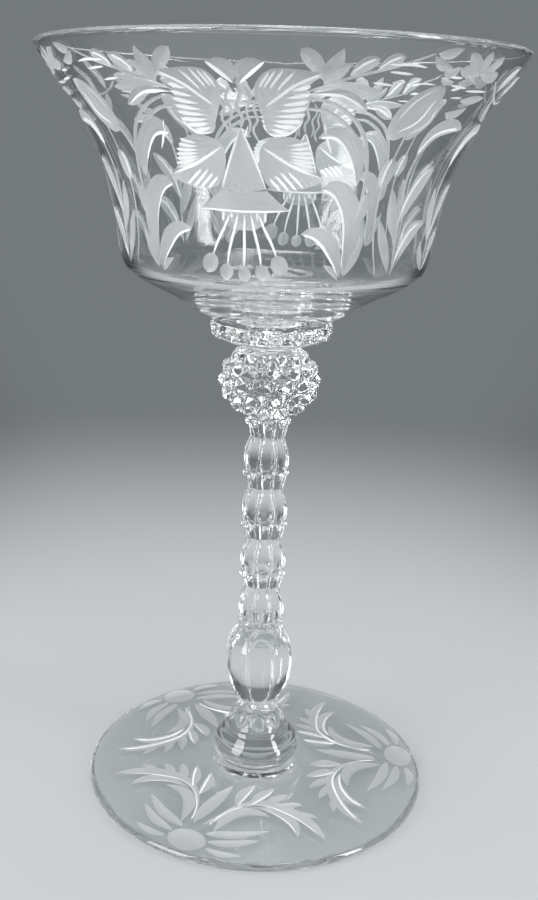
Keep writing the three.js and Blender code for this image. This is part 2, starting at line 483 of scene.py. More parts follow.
def smooth_max(a: np.ndarray, b: np.ndarray, blend: float) -> np.ndarray:
    """The greater of two heights, rounded over a blend in mm where they meet."""
    share = np.clip(0.5 + (a - b) / (2 * blend), 0, 1)
    return b + (a - b) * share + blend * share * (1 - share)


def smooth_step(value: np.ndarray, low: float, high: float) -> np.ndarray:
    """A soft step from 0 at low to 1 at high."""
    t = np.clip((value - low) / (high - low), 0, 1)
    return t * t * (3 - 2 * t)


def joined(points: np.ndarray, tolerance: float) -> np.ndarray:
    """Finds points that lie on each other.

    Args:
        points: The points, in mm.
        tolerance: How far apart two points may lie and still be one, in mm.

    Returns:
        For each point, the lowest number of the points that lie on it.
    """
    tree = KDTree(len(points))
    for number, point in enumerate(points):
        tree.insert(point, number)
    tree.balance()
    lowest = np.arange(len(points))
    for number, point in enumerate(points):
        if lowest[number] == number:
            for _, other, _ in tree.find_range(point, tolerance):
                lowest[other] = min(lowest[other], number)
    return lowest


def new_mesh(name: str, points: np.ndarray, faces: list[list[int]], finishes: list[int]) -> bpy.types.Mesh:
    """Makes a smooth mesh.

    Args:
        name: Its name.
        points: Its points, in mm.
        faces: For each face, the numbers of its points.
        finishes: For each face, its Surface number.

    Returns:
        The mesh.
    """
    mesh = bpy.data.meshes.new(name)
    mesh.from_pydata((points * MM).tolist(), [], faces)
    mesh.polygons.foreach_set("material_index", finishes)
    mesh.polygons.foreach_set("use_smooth", [True] * len(faces))
    mesh.update()
    return mesh


def link(mesh: bpy.types.Mesh, materials: Materials) -> bpy.types.Object:
    """Puts a mesh into the scene.

    Args:
        mesh: The mesh, whose name the object takes.
        materials: Its materials, in slot order.

    Returns:
        The object.
    """
    for material in materials:
        mesh.materials.append(material)
    piece = bpy.data.objects.new(mesh.name, mesh)
    bpy.context.scene.collection.objects.link(piece)
    return piece


def stand_in(mesh: bpy.types.Mesh, materials: Materials, node: str) -> None:
    """Puts a finished mesh in place of a solid.

    Args:
        mesh: The mesh, named as the piece.
        materials: The piece's materials, in slot order.
        node: The solid that it replaces.
    """
    piece = link(mesh, materials)
    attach(piece, "root")
    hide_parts(node)
    LOG.info("%s: %d faces", piece.name, len(mesh.polygons))


@dataclass
class MeshDraft:
    """A mesh in the making: points in mm, and faces, each with a finish, normals and stroke places."""

    columns: int  # round a full turn
    start: float  # the turn of the first column, in radians from the front
    weld: float = 0.004  # mm, within which two points are one
    points: list[np.ndarray] = field(default_factory=list)
    faces: list[list[int]] = field(default_factory=list)
    finishes: list[int] = field(default_factory=list)
    normals: list[np.ndarray] = field(default_factory=list)
    strokes: list[np.ndarray] = field(default_factory=list)
    count: int = 0

    def add(
        self,
        points: np.ndarray,
        faces: np.ndarray,
        finishes: np.ndarray,
        normals: np.ndarray,
        strokes: np.ndarray,
    ) -> None:
        """Adds a patch of faces.

        Args:
            points: Its points, in mm.
            faces: For each face, the numbers of its points within the patch.
            finishes: For each face, its Surface number.
            normals: For each corner of each face, the shading normal.
            strokes: For each corner of each face, its place along and across the wheel's stroke, in mm.
        """
        self.points.append(points)
        self.faces.extend((faces + self.count).tolist())
        self.finishes.extend(finishes.tolist())
        self.normals.extend(normals.reshape(-1, 3))
        self.strokes.extend(strokes.reshape(-1, 2))
        self.count += len(points)

    def revolve(self, profile: np.ndarray, finish: Surface) -> None:
        """Adds the surface that a profile sweeps round the axis, closed to a point where it meets the axis.

        Args:
            profile: Radii and heights in mm, with the glass on the left of its run.
            finish: The finish of its faces.
        """
        turns = self.start + np.linspace(0, 2 * math.pi, self.columns, endpoint=False)
        points = around(profile, turns).reshape(-1, 3)
        normals = around(outward(profile), turns)
        faces, corner_normals = [], []
        for row in range(len(profile) - 1):
            for i in range(self.columns):
                j = (i + 1) % self.columns
                corners = [(row, i), (row, j), (row + 1, j), (row + 1, i)]
                if profile[row, 0] < TINY:
                    corners.pop(1)
                elif profile[row + 1, 0] < TINY:
                    corners.pop(2)
                faces.append([r * self.columns + c for r, c in corners])
                corner_normals.append([normals[r, c] for r, c in corners])
        for size in (3, 4):
            chosen = [k for k, face in enumerate(faces) if len(face) == size]
            if chosen:
                patch = np.array([faces[k] for k in chosen])
                patch_normals = np.array([corner_normals[k] for k in chosen])
                patch_finishes = np.full(len(chosen), finish.value)
                self.add(points, patch, patch_finishes, patch_normals, np.zeros((len(chosen), size, 2)))

    def build(self, name: str) -> bpy.types.Mesh:
        """Joins the patches where they meet and makes the mesh.

        Args:
            name: The mesh's name.

        Returns:
            The mesh, with the wheel's strokes as its UV map.
        """
        points = np.vstack(self.points)
        first, same = np.unique(joined(points, self.weld), return_inverse=True)
        faces, finishes, corners, corner = [], [], [], 0
        for face, finish in zip(self.faces, self.finishes):
            around_face = [int(same[i]) for i in face]
            if len(set(around_face)) == len(face):
                faces.append(around_face)
                finishes.append(finish)
                corners.extend(range(corner, corner + len(face)))
            corner += len(face)
        mesh = new_mesh(name, points[first], faces, finishes)
        uv = mesh.uv_layers.new(name="stroke")
        uv.data.foreach_set("uv", np.array(self.strokes, np.float32)[corners].ravel())
        mesh.normals_split_custom_set(np.array(self.normals)[corners].tolist())
        return mesh


@dataclass(frozen=True)
class MouldGrid:
    """The places on a section's profile where its relief is worked out."""

    turn: np.ndarray  # radians from the stem's front, in one row
    radius: np.ndarray  # mm, in one column
    lift: np.ndarray  # mm over the lower seam, in one column
    bead_fall: float = 0.4  # of a bead's size outward, how far the relief falls away beside it

    def beads(self, count: int, lift: float, half_sizes: tuple[float, float, float]) -> np.ndarray:
        """The relief of a ring of round beads.

        Args:
            count: How many beads the ring has.
            lift: The height of their middles over the lower seam, in mm.
            half_sizes: Half of a bead's size outward, sideways and upward.

        Returns:
            Heights in mm, below zero where there is no bead.
        """
        out, side, up = half_sizes
        sideways = off_centre(self.turn, count) * self.radius
        inside_bead = 1 - (sideways / side) ** 2 - ((self.lift - lift) / up) ** 2
        fall = self.bead_fall * out * np.minimum(-inside_bead, 1)
        return out * np.sqrt(np.maximum(inside_bead, 0)) - (inside_bead < 0) * fall


def off_centre(turn: np.ndarray, count: int) -> np.ndarray:
    """The angle from the nearest of a number of even places round the axis, the first at the front."""
    pitch = 2 * math.pi / count
    return (turn + pitch / 2) % pitch - pitch / 2


@dataclass
class PressedSection:
    """A section of the pressed stem: a profile round the axis with a relief raised along its normals.

    The spans of the profile are smooth, with a corner where two meet. They give radii, and heights over the
    lower seam. The first and the last point lie on the seams.
    """

    name: str = ""
    node: str = ""
    spans: Spans = ()
    columns: int = 256
    step: float = 0.28  # mm between rows
    crease_deg: float = 32.0
    seam_margin: float = 0.35  # mm over which the relief dies out towards a seam

    def profile(self) -> Spans:
        """The spans of the profile, from the lower seam up."""
        return self.spans

    def relief(self, at: MouldGrid) -> np.ndarray:
        """How far the mould raises the surface over its profile.

        Args:
            at: The places on the profile.

        Returns:
            Heights in mm, with a row for each profile point and a column for each turn.
        """
        return np.zeros_like(at.turn * at.radius)

    def build(self, materials: Materials) -> None:
        """Makes the section in place of its solid, with seam faces where it is fused to its neighbours.

        Args:
            materials: The finish of its surface and that of its seams.
        """
        low, high = (corner.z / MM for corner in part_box(self.node))
        spans = [spline(span, self.step) for span in self.profile()]
        line = np.vstack([spans[0], *[span[1:] for span in spans[1:]]])
        lift = line[:, 1:].copy()
        turn = np.linspace(-math.pi, math.pi, self.columns, endpoint=False)
        margin = smooth_step(np.minimum(lift, lift[-1] - lift), 0.0, self.seam_margin)
        rise = self.relief(MouldGrid(turn[None, :], line[:, :1], lift)) * margin
        line[:, 1] += low
        turned = turn + STEM_TURN
        points = around(line, turned) + around(outward(line), turned) * rise[..., None]
        points[0, :, 2], points[-1, :, 2] = low, high
        size, centre = self.columns, len(line) * self.columns
        top = centre - size
        after = [(i + 1) % size for i in range(size)]
        walls = [
            [row + i, row + j, row + size + j, row + size + i]
            for row in range(0, top, size)
            for i, j in enumerate(after)
        ]
        seams = []
        for i, j in enumerate(after):
            seams += [[centre, j, i], [centre + 1, top + i, top + j]]
        finishes = [Surface.POLISHED.value] * len(walls) + [Surface.SEAM.value] * len(seams)
        middles = np.array([[0, 0, low], [0, 0, high]])
        mesh = new_mesh(self.name, np.vstack([points.reshape(-1, 3), middles]), walls + seams, finishes)
        mesh.set_sharp_from_angle(angle=math.radians(self.crease_deg))
        for edge in mesh.edges:
            if max(edge.vertices) < size or top <= min(edge.vertices) <= max(edge.vertices) < centre:
                edge.use_edge_sharp = True
        stand_in(mesh, materials, self.node)


@dataclass
class BeadCollar(PressedSection):
    """The disc under the bowl, its edge set with rosette beads: a round ring with a dot in its middle."""

    name: str = "rosette_collar"
    node: str = "bead_collar"
    spans: Spans = (
        ((5.3, 0.0), (5.6, 0.7), (7.0, 1.4), (10.4, 2.3), (11.5, 3.0)),
        ((11.5, 3.0), (12.0, 4.0), (12.1, 5.1), (12.05, 6.0), (12.1, 6.6)),
    )
    columns: int = 480
    beads: int = 2 * PANELS
    edge_radius: float = 10.5  # the beads stand only outside this
    bead_lift: float = 4.55
    half_width: float = 2.0
    half_height: float = 1.5
    rise: float = 0.7
    groove: float = 0.55  # mm that the ring and the dot stand over the groove between them
    ring_place: float = 0.76  # as a share of the bead's half size
    dot_size: float = 0.36

    def relief(self, at: MouldGrid) -> np.ndarray:
        """Domed beads, each with a ring groove.

        Args:
            at: The places on the profile.

        Returns:
            Heights in mm.
        """
        sideways = off_centre(at.turn, self.beads) * at.radius / self.half_width
        edge = np.sqrt(sideways**2 + ((at.lift - self.bead_lift) / self.half_height) ** 2)
        ring = np.sqrt(np.maximum(1 - ((edge - self.ring_place) / (1 - self.ring_place)) ** 2, 0))
        dot = np.sqrt(np.maximum(1 - (edge / self.dot_size) ** 2, 0))
        floor = (edge < 1) * (self.rise - self.groove)
        return np.where(at.radius > self.edge_radius, floor + self.groove * np.maximum(ring, dot), 0)


@dataclass
class HobnailBall(PressedSection):
    """The ball between collar and column, covered in staggered rows of pointed hobnails."""

    name: str = "hobnail_knop"
    node: str = "hobnail_ball"
    columns: int = 384
    step: float = 0.24
    crease_deg: float = 40.0
    rows: int = 5
    nails: int = 2 * PANELS  # in a row
    half_width: float = 9.75
    half_height: float = 7.45
    row_step: float = math.radians(22.5)
    peak: float = 1.25
    sharpness: float = 1.35
    squareness: float = 0.45  # of a nail's base, from 0 for round to 1 for six-sided
    low_neck: Point = (4.35, 0.0)
    top_neck: Point = (5.3, 14.12)
    middle: float = 7.62  # the lift of the ball's middle
    knots: int = 60  # of the ball's curve

    def profile(self) -> Spans:
        """The bare ball between its two necks.

        Returns:
            The neck below, the ball and the neck above.
        """
        reach = (self.rows / 2) * self.row_step
        ball = [
            (self.half_width * math.cos(angle), self.middle + self.half_height * math.sin(angle))
            for angle in np.linspace(-reach, reach, self.knots).tolist()
        ]
        return [[self.low_neck, ball[0]], ball, [ball[-1], self.top_neck]]

    def relief(self, at: MouldGrid) -> np.ndarray:
        """Six-sided peaks with slightly rounded points.

        Args:
            at: The places on the profile.

        Returns:
            Heights in mm.
        """
        latitude = np.arcsin(np.clip((at.lift - self.middle) / self.half_height, -1, 1))
        half_pitch = math.pi / self.nails
        height = np.zeros_like(at.turn * at.radius)
        for row in range(self.rows):
            centre = (row - (self.rows - 1) / 2) * self.row_step
            across = off_centre(at.turn - (row % 2) * half_pitch, self.nails) / half_pitch
            up = (latitude - centre) / self.row_step
            six_sided = np.maximum(np.abs(across), 0.5 * np.abs(across) + 1.5 * np.abs(up))
            round_base = np.hypot(across, 1.5 * up)
            reach = self.squareness * six_sided + (1 - self.squareness) * round_base
            height = np.maximum(height, self.peak * (1 - np.clip(reach, 0, 1) ** self.sharpness))
        return height


@dataclass
class ColumnLength(PressedSection):
    """One panelled length of the column: swell, crisp waist, band with beads, and the ledge over it."""

    index: int = 0
    spans: Spans = (
        ((4.35, 0.0), (4.6, 1.12), (4.72, 2.52), (4.35, 4.62), (3.4, 6.82)),
        ((3.4, 6.82), (3.8, 8.52), (4.1, 9.82), (4.3, 11.12)),
        ((4.3, 11.12), (4.35, 11.72)),
    )
    columns: int = 288
    grow_step: float = 0.06  # mm that each length is thicker than the one above
    waist: float = 6.82  # its lift
    bead_lift: float = 10.42
    bead_sizes: tuple[float, float, float] = (0.85, 0.86, 0.9)
    bead_blend: float = 0.06
    flat_factor: float = 1.02  # a panel's middle lies this much inside the section's radius
    edge_factor: float = 1.05  # where the ribs cut the corners of the octagon
    rib_rise: float = 0.32
    rib_half: Point = (0.48, 0.78)  # mm at the swell, and at the ends where the panels end in a point
    rib_fullness: float = 0.7  # 1 for panels with sharp ends, 0 for straight-sided ones

    def __post_init__(self) -> None:
        """Names the piece and its node."""
        self.name = f"panelled_length_{self.index + 1}"
        self.node = f"column_length_{self.index + 1}"

    def profile(self) -> Spans:
        """The spans, all but the seams moved out by what this length is thicker.

        Returns:
            The spans.
        """
        grow = self.index * self.grow_step
        seams = (self.spans[0][0], self.spans[-1][-1])
        return [[p if p in seams else (p[0] + grow, p[1]) for p in span] for span in self.spans]

    def relief(self, at: MouldGrid) -> np.ndarray:
        """Eight flat panels with a rounded rib between each two, and a bead on each.

        Args:
            at: The places on the profile.

        Returns:
            Heights in mm.
        """
        angle = np.abs(off_centre(at.turn, PANELS))
        swell = np.clip(at.lift / self.waist, 0, 1)
        factor = np.minimum(1 / np.cos(angle), self.edge_factor)
        narrow, wide = self.rib_half
        half = wide + (narrow - wide) * np.sin(math.pi * swell) ** self.rib_fullness
        from_rib = (math.pi / PANELS - angle) * at.radius
        ribs = self.rib_rise * np.maximum(1 - (from_rib / half) ** 2, 0)
        panels = at.radius * (factor / self.flat_factor - 1) + ribs
        beads = at.beads(PANELS, self.bead_lift, self.bead_sizes)
        return smooth_max(panels, beads + panels.min(), self.bead_blend)


@dataclass
class BeadedSection(PressedSection):
    """A plain neck with a ring of eight large beads."""

    bead_lift: float = 0.0  # of the beads' middles, in mm
    bead_sizes: tuple[float, float, float] = (1.0, 1.0, 1.0)
    bead_blend: float = 0.1

    def relief(self, at: MouldGrid) -> np.ndarray:
        """The ring of beads."""
        beads = at.beads(PANELS, self.bead_lift, self.bead_sizes)
        return smooth_max(np.zeros_like(beads), beads, self.bead_blend)


@dataclass
class NeckBeadRing(BeadedSection):
    """The ring of larger beads, nearly touching, between the column and the baluster."""

    name: str = "beaded_neck"
    node: str = "neck_bead_ring"
    spans: Spans = (((4.65, 0.0), (3.8, 0.7), (3.6, 1.4), (4.35, 2.7)),)
    step: float = 0.16
    bead_lift: float = 1.4
    bead_sizes: tuple[float, float, float] = (1.45, 1.2, 1.25)
    bead_blend: float = 0.08


@dataclass
class RibbedBaluster(PressedSection):
    """The inverted-pear baluster: eight round ribs, with flutes between them that end in an arch."""

    name: str = "fluted_baluster"
    node: str = "ribbed_baluster"
    spans: Spans = (
        (
            (4.7, 0.0), (5.0, 2.364), (6.3, 4.925), (7.3, 7.88), (7.9, 11.426), (7.75, 14.184),
            (7.15, 16.548), (5.95, 18.518), (4.65, 19.7),
        ),
    )
    columns: int = 384
    step: float = 0.3
    flute_floor: float = 0.85  # of the ribs' radius, how far a flute's flat floor lies from the axis
    flute_half: float = 0.37  # half of a flute's width, as a share of the way from panel to panel
    narrowing: float = 0.75  # of that width, the part lost at the foot
    arch_spring: float = 0.74  # where the arch over a flute springs, as a share of the height
    arch_top: float = 0.975
    arch_fade: float = 0.05
    spread: float = 0.3  # the share of the height over which a flute widens
    foot_fade: Point = (0.02, 0.12)  # the shares of the height between which the flutes begin
    lump_lift: float = 1.5
    lump_sizes: tuple[float, float, float] = (0.45, 1.0, 0.8)
    lump_sink: float = 0.2  # of the flutes' depth
    lump_blend: float = 0.1

    def relief(self, at: MouldGrid) -> np.ndarray:
        """Sinks the flutes between the ribs and sets a small lump at each rib's foot.

        Args:
            at: The places on the profile.

        Returns:
            Heights in mm.
        """
        share = at.lift / at.lift[-1]
        pitch = 2 * math.pi / PANELS
        angle = np.abs(off_centre(at.turn, PANELS))
        arch = np.clip((share - self.arch_spring) / (self.arch_top - self.arch_spring), 0, 1)
        width = 1 - self.narrowing + self.narrowing * smooth_step(share, 0.0, self.spread)
        half = self.flute_half * np.sqrt(1 - arch**2) * width
        sunk = np.clip(((0.5 - angle / pitch) / (0.5 - half)) ** 2, 0, 1)
        ends = smooth_step(share, *self.foot_fade)
        ends = ends * (1 - smooth_step(share, self.arch_top - self.arch_fade, self.arch_top))
        flutes = (self.flute_floor / np.cos(angle) - 1) * at.radius * sunk * ends
        ribs = replace(at, turn=at.turn + pitch / 2)
        lumps = ribs.beads(PANELS, self.lump_lift, self.lump_sizes)
        return smooth_max(flutes, lumps + flutes.min() * self.lump_sink, self.lump_blend)


@dataclass
class FootRosette(BeadedSection):
    """The rosette of large beads round the neck between the baluster and the bell."""

    name: str = "beaded_rosette"
    node: str = "foot_rosette"
    spans: Spans = (((6.9, 0.0), (6.2, 0.8), (5.2, 2.4), (4.7, 4.6)),)
    columns: int = 288
    step: float = 0.2
    bead_lift: float = 2.45
    bead_sizes: tuple[float, float, float] = (1.0, 1.75, 1.7)
    bead_blend: float = 0.12


@dataclass
class FootBell(PressedSection):
    """The bell that carries the stem: a sloping terrace, a shoulder edge and a round, tucked-in side."""

    name: str = "stem_bell"
    node: str = "foot_bell"
    spans: Spans = (
        ((8.7, 0.0), (9.5, 1.1), (9.78, 2.7), (9.3, 4.3), (8.7, 5.2)),
        ((8.7, 5.2), (7.9, 6.3), (7.25, 7.0), (6.9, 7.6)),
    )
    columns: int = 192
    crease_deg: float = 14.0


@dataclass
class Chart(ABC):
    """A patterned zone of a surface of revolution, laid flat so that strokes can be drawn on it in mm."""

    profile: np.ndarray  # radii and heights through the zone
    repeats: int
    columns: int  # round the whole turn
    turn: float  # of the first repeat's middle, in radians
    spacing: float = 1.25  # of the points that fill it
    row_share: float = 0.87  # of the spacing, from row to row
    end_gap: float = 0.6  # of the spacing, from the last point to the border
    stagger: Point = (0.75, 0.5)  # of the spacing, a row's first point, and every other row's step from it

    def __post_init__(self) -> None:
        """Works out the distance along the profile and the mean radius."""
        self.along = arc_length(self.profile)
        self.mean_radius = float(self.profile[:, 0].mean())
        self.half = math.pi / self.repeats

    def first(self, row: int) -> float:
        """Where a row's first point stands from the border, in spacings."""
        return self.stagger[0] + self.stagger[1] * (row % 2)

    def side_scale(self, spine: np.ndarray) -> float:
        """How many true mm a sideways mm of the chart is, about a spine."""
        return 1.0

    @abstractmethod
    def flat(self, place: Point) -> Point:
        """Lays a place of the pattern flat."""

    @abstractmethod
    def unroll(self, flat: np.ndarray) -> tuple[np.ndarray, np.ndarray]:
        """Angles from the middle and distances along the profile of flat points."""

    @abstractmethod
    def border(self) -> np.ndarray:
        """The outline of one repeat, flat, with the points that its neighbours share."""

    @abstractmethod
    def fill(self) -> np.ndarray:
        """Points spread evenly in staggered rows over one repeat, flat."""


@dataclass
class WallChart(Chart):
    """The chart of a steep wall: angles run sideways and the distance up the wall runs up."""

    first_row: float = 0.9  # of the spacing, from the border

    def side_scale(self, spine: np.ndarray) -> float:
        """How many true mm a sideways mm of the chart is, about a spine."""
        radius = np.interp(spine[:, 1], self.along, self.profile[:, 0])
        return float(radius.mean() / self.mean_radius)

    def flat(self, place: Point) -> Point:
        """Lays a place of angle and height flat."""
        along = float(np.interp(place[1], self.profile[:, 1], self.along))
        return (math.radians(place[0]) * self.mean_radius, along)

    def unroll(self, flat: np.ndarray) -> tuple[np.ndarray, np.ndarray]:
        """Rolls flat points back round the wall."""
        return flat[:, 0] / self.mean_radius, flat[:, 1]

    def border(self) -> np.ndarray:
        """A rectangle.

        Returns:
            Its points.
        """
        across = np.linspace(-self.half, self.half, self.columns // self.repeats + 1) * self.mean_radius
        up = np.linspace(0, self.along[-1], math.ceil(self.along[-1] / self.spacing) + 1)
        low = np.column_stack([across, np.zeros_like(across)])
        right = np.column_stack([np.full_like(up, across[-1]), up])[1:-1]
        high = np.column_stack([across[::-1], np.full_like(across, up[-1])])
        left = np.column_stack([np.full_like(up, across[0]), up[::-1]])[1:-1]
        return np.vstack([low, right, high, left])

    def fill(self) -> np.ndarray:
        """A staggered grid inside the rectangle.

        Returns:
            Its points.
        """
        space, wide = self.spacing, self.half * self.mean_radius
        top = self.along[-1] - space * self.end_gap
        rows = np.arange(space * self.first_row, top, space * self.row_share)
        grid = []
        for number, row in enumerate(rows):
            across = np.arange(-wide + space * self.first(number), wide - space * self.end_gap, space)
            grid.append(np.column_stack([across, np.full_like(across, row)]))
        return np.vstack(grid)


@dataclass
class DiscChart(Chart):
    """The chart of a disc seen from above: each repeat is a wedge with its middle straight up the page."""

    first_row: float = 0.8

    def flat(self, place: Point) -> Point:
        """Lays a place of angle and radius flat."""
        angle, radius = math.radians(place[0]), place[1]
        return (radius * math.sin(angle), radius * math.cos(angle))

    def unroll(self, flat: np.ndarray) -> tuple[np.ndarray, np.ndarray]:
        """Finds flat points on the disc.

        Args:
            flat: The points.

        Returns:
            Their angles from the middle and distances along the profile.
        """
        order = np.argsort(self.profile[:, 0])
        along = np.interp(np.hypot(flat[:, 0], flat[:, 1]), self.profile[order, 0], self.along[order])
        return np.arctan2(flat[:, 0], flat[:, 1]), along

    def arc(self, angles: np.ndarray, radii: np.ndarray | float) -> np.ndarray:
        """Flat points at angles and radii."""
        return np.column_stack([np.sin(angles) * radii, np.cos(angles) * radii])

    def border(self) -> np.ndarray:
        """A wedge between two arcs.

        Returns:
            Its points.
        """
        angles = np.linspace(-self.half, self.half, self.columns // self.repeats + 1)
        inner, outer = sorted((self.profile[0, 0], self.profile[-1, 0]))
        radii = np.linspace(inner, outer, math.ceil((outer - inner) / self.spacing) + 1)
        left, right = (self.arc(np.full_like(radii, side), radii) for side in (-self.half, self.half))
        sides = [self.arc(angles, inner)[::-1], left[1:-1], self.arc(angles, outer), right[::-1][1:-1]]
        return np.vstack(sides)[::-1]

    def fill(self) -> np.ndarray:
        """Points on arcs, staggered from arc to arc.

        Returns:
            The points.
        """
        space = self.spacing
        inner, outer = sorted((self.profile[0, 0], self.profile[-1, 0]))
        rows = np.arange(inner + space * self.first_row, outer - space * self.end_gap, space * self.row_share)
        grid = []
        for number, radius in enumerate(rows):
            step = space / radius
            start, stop = -self.half + step * self.first(number), self.half - step * self.end_gap
            grid.append(self.arc(np.arange(start, stop, step), radius))
        return np.vstack(grid)


@dataclass
class DrawnCut:
    """A cut laid on a chart: its outline and spine, flat, and how deep it goes."""

    outline: np.ndarray
    spine: np.ndarray
    depth: float
    finish: Surface
    feathered: bool = False  # ground in strokes that slant from the spine to the edges


def mirrored(path: Sequence[Point]) -> tuple[Point, ...]:
    """A path on the other side of the pattern's middle."""
    return tuple((-angle, place) for angle, place in path)


@dataclass(frozen=True)
class Stroke:
    """One stroke of a wheel: it starts and ends in nothing, or in a round end, and swells between.

    A place is given by its angle from the middle of the pattern, in degrees, and its height or radius in mm.
    """

    path: tuple[Point, ...]
    width: float  # mm
    left: float = 0.5  # share of the width that lies left of the path
    belly: float = 0.5  # where along the path it is widest
    point: float = 0.8  # 1 for sharp ends, 0.5 for round ones
    ribbed: bool = False  # a mitre line along the path, painted bright as a highlight
    finish: Surface = Surface.SATIN
    facet_length: float = 0.7  # mm, of the steps along its outline
    facets: tuple[int, int] = (7, 26)  # the fewest and the most
    deepest: float = 0.42
    rib_width: float = 0.46
    rib_depth: float = 0.07
    rib_taper: float = 0.35  # 1 for a rib with sharp ends, 0 for an even one
    rib_span: Point = (0.02, 0.94)  # the share of the path that the bright line covers
    rib_ends: float = 0.02  # the share of its swell that is cut off at each end, so it never comes to nothing

    def mirrored(self) -> Stroke:
        """The same stroke on the other side of the pattern's middle."""
        return replace(self, path=mirrored(self.path), left=1 - self.left)

    def depth(self) -> float:
        """How deep the wheel goes, in mm: the wider the stroke, the deeper."""
        slope = 0.1 * self.width
        return min(self.deepest, 0.06 + slope) if self.finish is Surface.SATIN else 0.03 + slope

    def draw(self, chart: Chart) -> list[DrawnCut]:
        """Lays the stroke on a chart.

        Args:
            chart: The chart.

        Returns:
            The stroke, and its bright rib where it has one.
        """
        spine = spline([chart.flat(place) for place in self.path], self.facet_length / 2)
        scale = chart.side_scale(spine)
        length = arc_length(spine * [scale, 1])[-1]
        share = np.linspace(0, 1, int(np.clip(round(length / self.facet_length), *self.facets)) + 1)
        middle = follow(share, arc_length(spine) / arc_length(spine)[-1], spine)
        along = np.gradient(middle, axis=0) * [scale, 1]
        along /= np.maximum(np.linalg.norm(along, axis=1), TINY)[:, None]
        leftward = np.column_stack([-along[:, 1] / scale, along[:, 0]])
        swell = np.sin(math.pi * share ** (math.log(0.5) / math.log(self.belly))) ** self.point
        swell = np.maximum(swell, 0)
        left_edge = middle + leftward * (swell * self.width * self.left)[:, None]
        right_edge = middle - leftward * (swell * self.width * (1 - self.left))[:, None]
        outline = np.vstack([left_edge, right_edge[::-1][1:-1]])
        cuts = [DrawnCut(outline, middle, self.depth(), self.finish)]
        if self.ribbed:
            low, high = self.rib_span
            part = (share >= low) & (share <= high)
            swell = np.sin(math.pi * np.clip(share * (1 - 2 * self.rib_ends) + self.rib_ends, 0, 1))
            thin = self.rib_width * swell**self.rib_taper / 2
            a, b = ((middle + side * leftward * thin[:, None])[part] for side in (1, -1))
            cuts.append(DrawnCut(np.vstack([a, b[::-1]]), middle[part], self.rib_depth, Surface.MITRE))
        return cuts


@dataclass(frozen=True)
class Facet:
    """A cut with straight or round sides that isn't one stroke: its outline, and the line it slopes to."""

    outline: tuple[Point, ...]
    spine: tuple[Point, ...]
    leafy: bool = False  # round-sided and feathered, not straight-sided and even
    depth: float = 0.35
    round_step: float = 0.7  # mm between the points of a round outline or a spine
    straight_step: float = 0.8

    def mirrored(self) -> Facet:
        """The same facet on the other side of the pattern's middle."""
        return replace(self, outline=mirrored(self.outline), spine=mirrored(self.spine))

    def draw(self, chart: Chart) -> list[DrawnCut]:
        """Lays the facet on a chart.

        Args:
            chart: The chart.

        Returns:
            The one cut.
        """
        corners = [chart.flat(place) for place in self.outline]
        if self.leafy:
            closed = spline([*corners[-2:], *corners, *corners[:2]], self.round_step)
            gap = np.linalg.norm(closed - corners[0], axis=1)
            half = len(closed) // 2
            outline = closed[int(gap[:half].argmin()) : half + int(gap[half:].argmin())]
        else:
            ring = [*corners, corners[0]]
            sides = [spline(ring[i : i + 2], self.straight_step)[:-1] for i in range(len(corners))]
            outline = np.vstack(sides)
        spine = spline([chart.flat(place) for place in self.spine], self.round_step)
        return [DrawnCut(outline, spine, self.depth, Surface.SATIN, self.leafy)]


Cuts = Sequence[Stroke | Facet]


def inside(points: np.ndarray, outline: np.ndarray) -> np.ndarray:
    """Which points lie inside a closed outline.

    Args:
        points: The points to test.
        outline: The outline's corners, in order.

    Returns:
        True for each point inside.
    """
    low, high = outline.min(axis=0), outline.max(axis=0)
    near = np.all((points >= low) & (points <= high), axis=1)
    result = np.zeros(len(points), bool)
    if near.any():
        x, y = points[near, 0][:, None], points[near, 1][:, None]
        a, b = outline, np.roll(outline, -1, axis=0)
        crosses = (a[:, 1] > y) != (b[:, 1] > y)
        rise = np.where(b[:, 1] == a[:, 1], 1e-12, b[:, 1] - a[:, 1])
        meets = x < (b[:, 0] - a[:, 0]) * (y - a[:, 1]) / rise + a[:, 0]
        result[near] = (crosses & meets).sum(axis=1) % 2 == 1
    return result


def nearest(points: np.ndarray, line: np.ndarray) -> tuple[np.ndarray, np.ndarray, np.ndarray]:
    """Finds where points lie against a line of points.

    Args:
        points: The points.
        line: The line's points, in order.

    Returns:
        The distance to the line, the distance along it, and the side as -1 or 1.
    """
    start, step = line[:-1], np.diff(line, axis=0)
    length = np.maximum(np.linalg.norm(step, axis=1), TINY)
    offset = points[:, None, :] - start[None, :, :]
    share = np.clip((offset * step).sum(axis=2) / length**2, 0, 1)
    distance = np.linalg.norm(offset - share[..., None] * step, axis=2)
    best = distance.argmin(axis=1)
    index = np.arange(len(points))
    run = arc_length(line)[:-1][best] + share[index, best] * length[best]
    cross = step[best, 0] * offset[index, best, 1] - step[best, 1] * offset[index, best, 0]
    return distance[index, best], run, np.where(cross < 0, -1.0, 1.0)


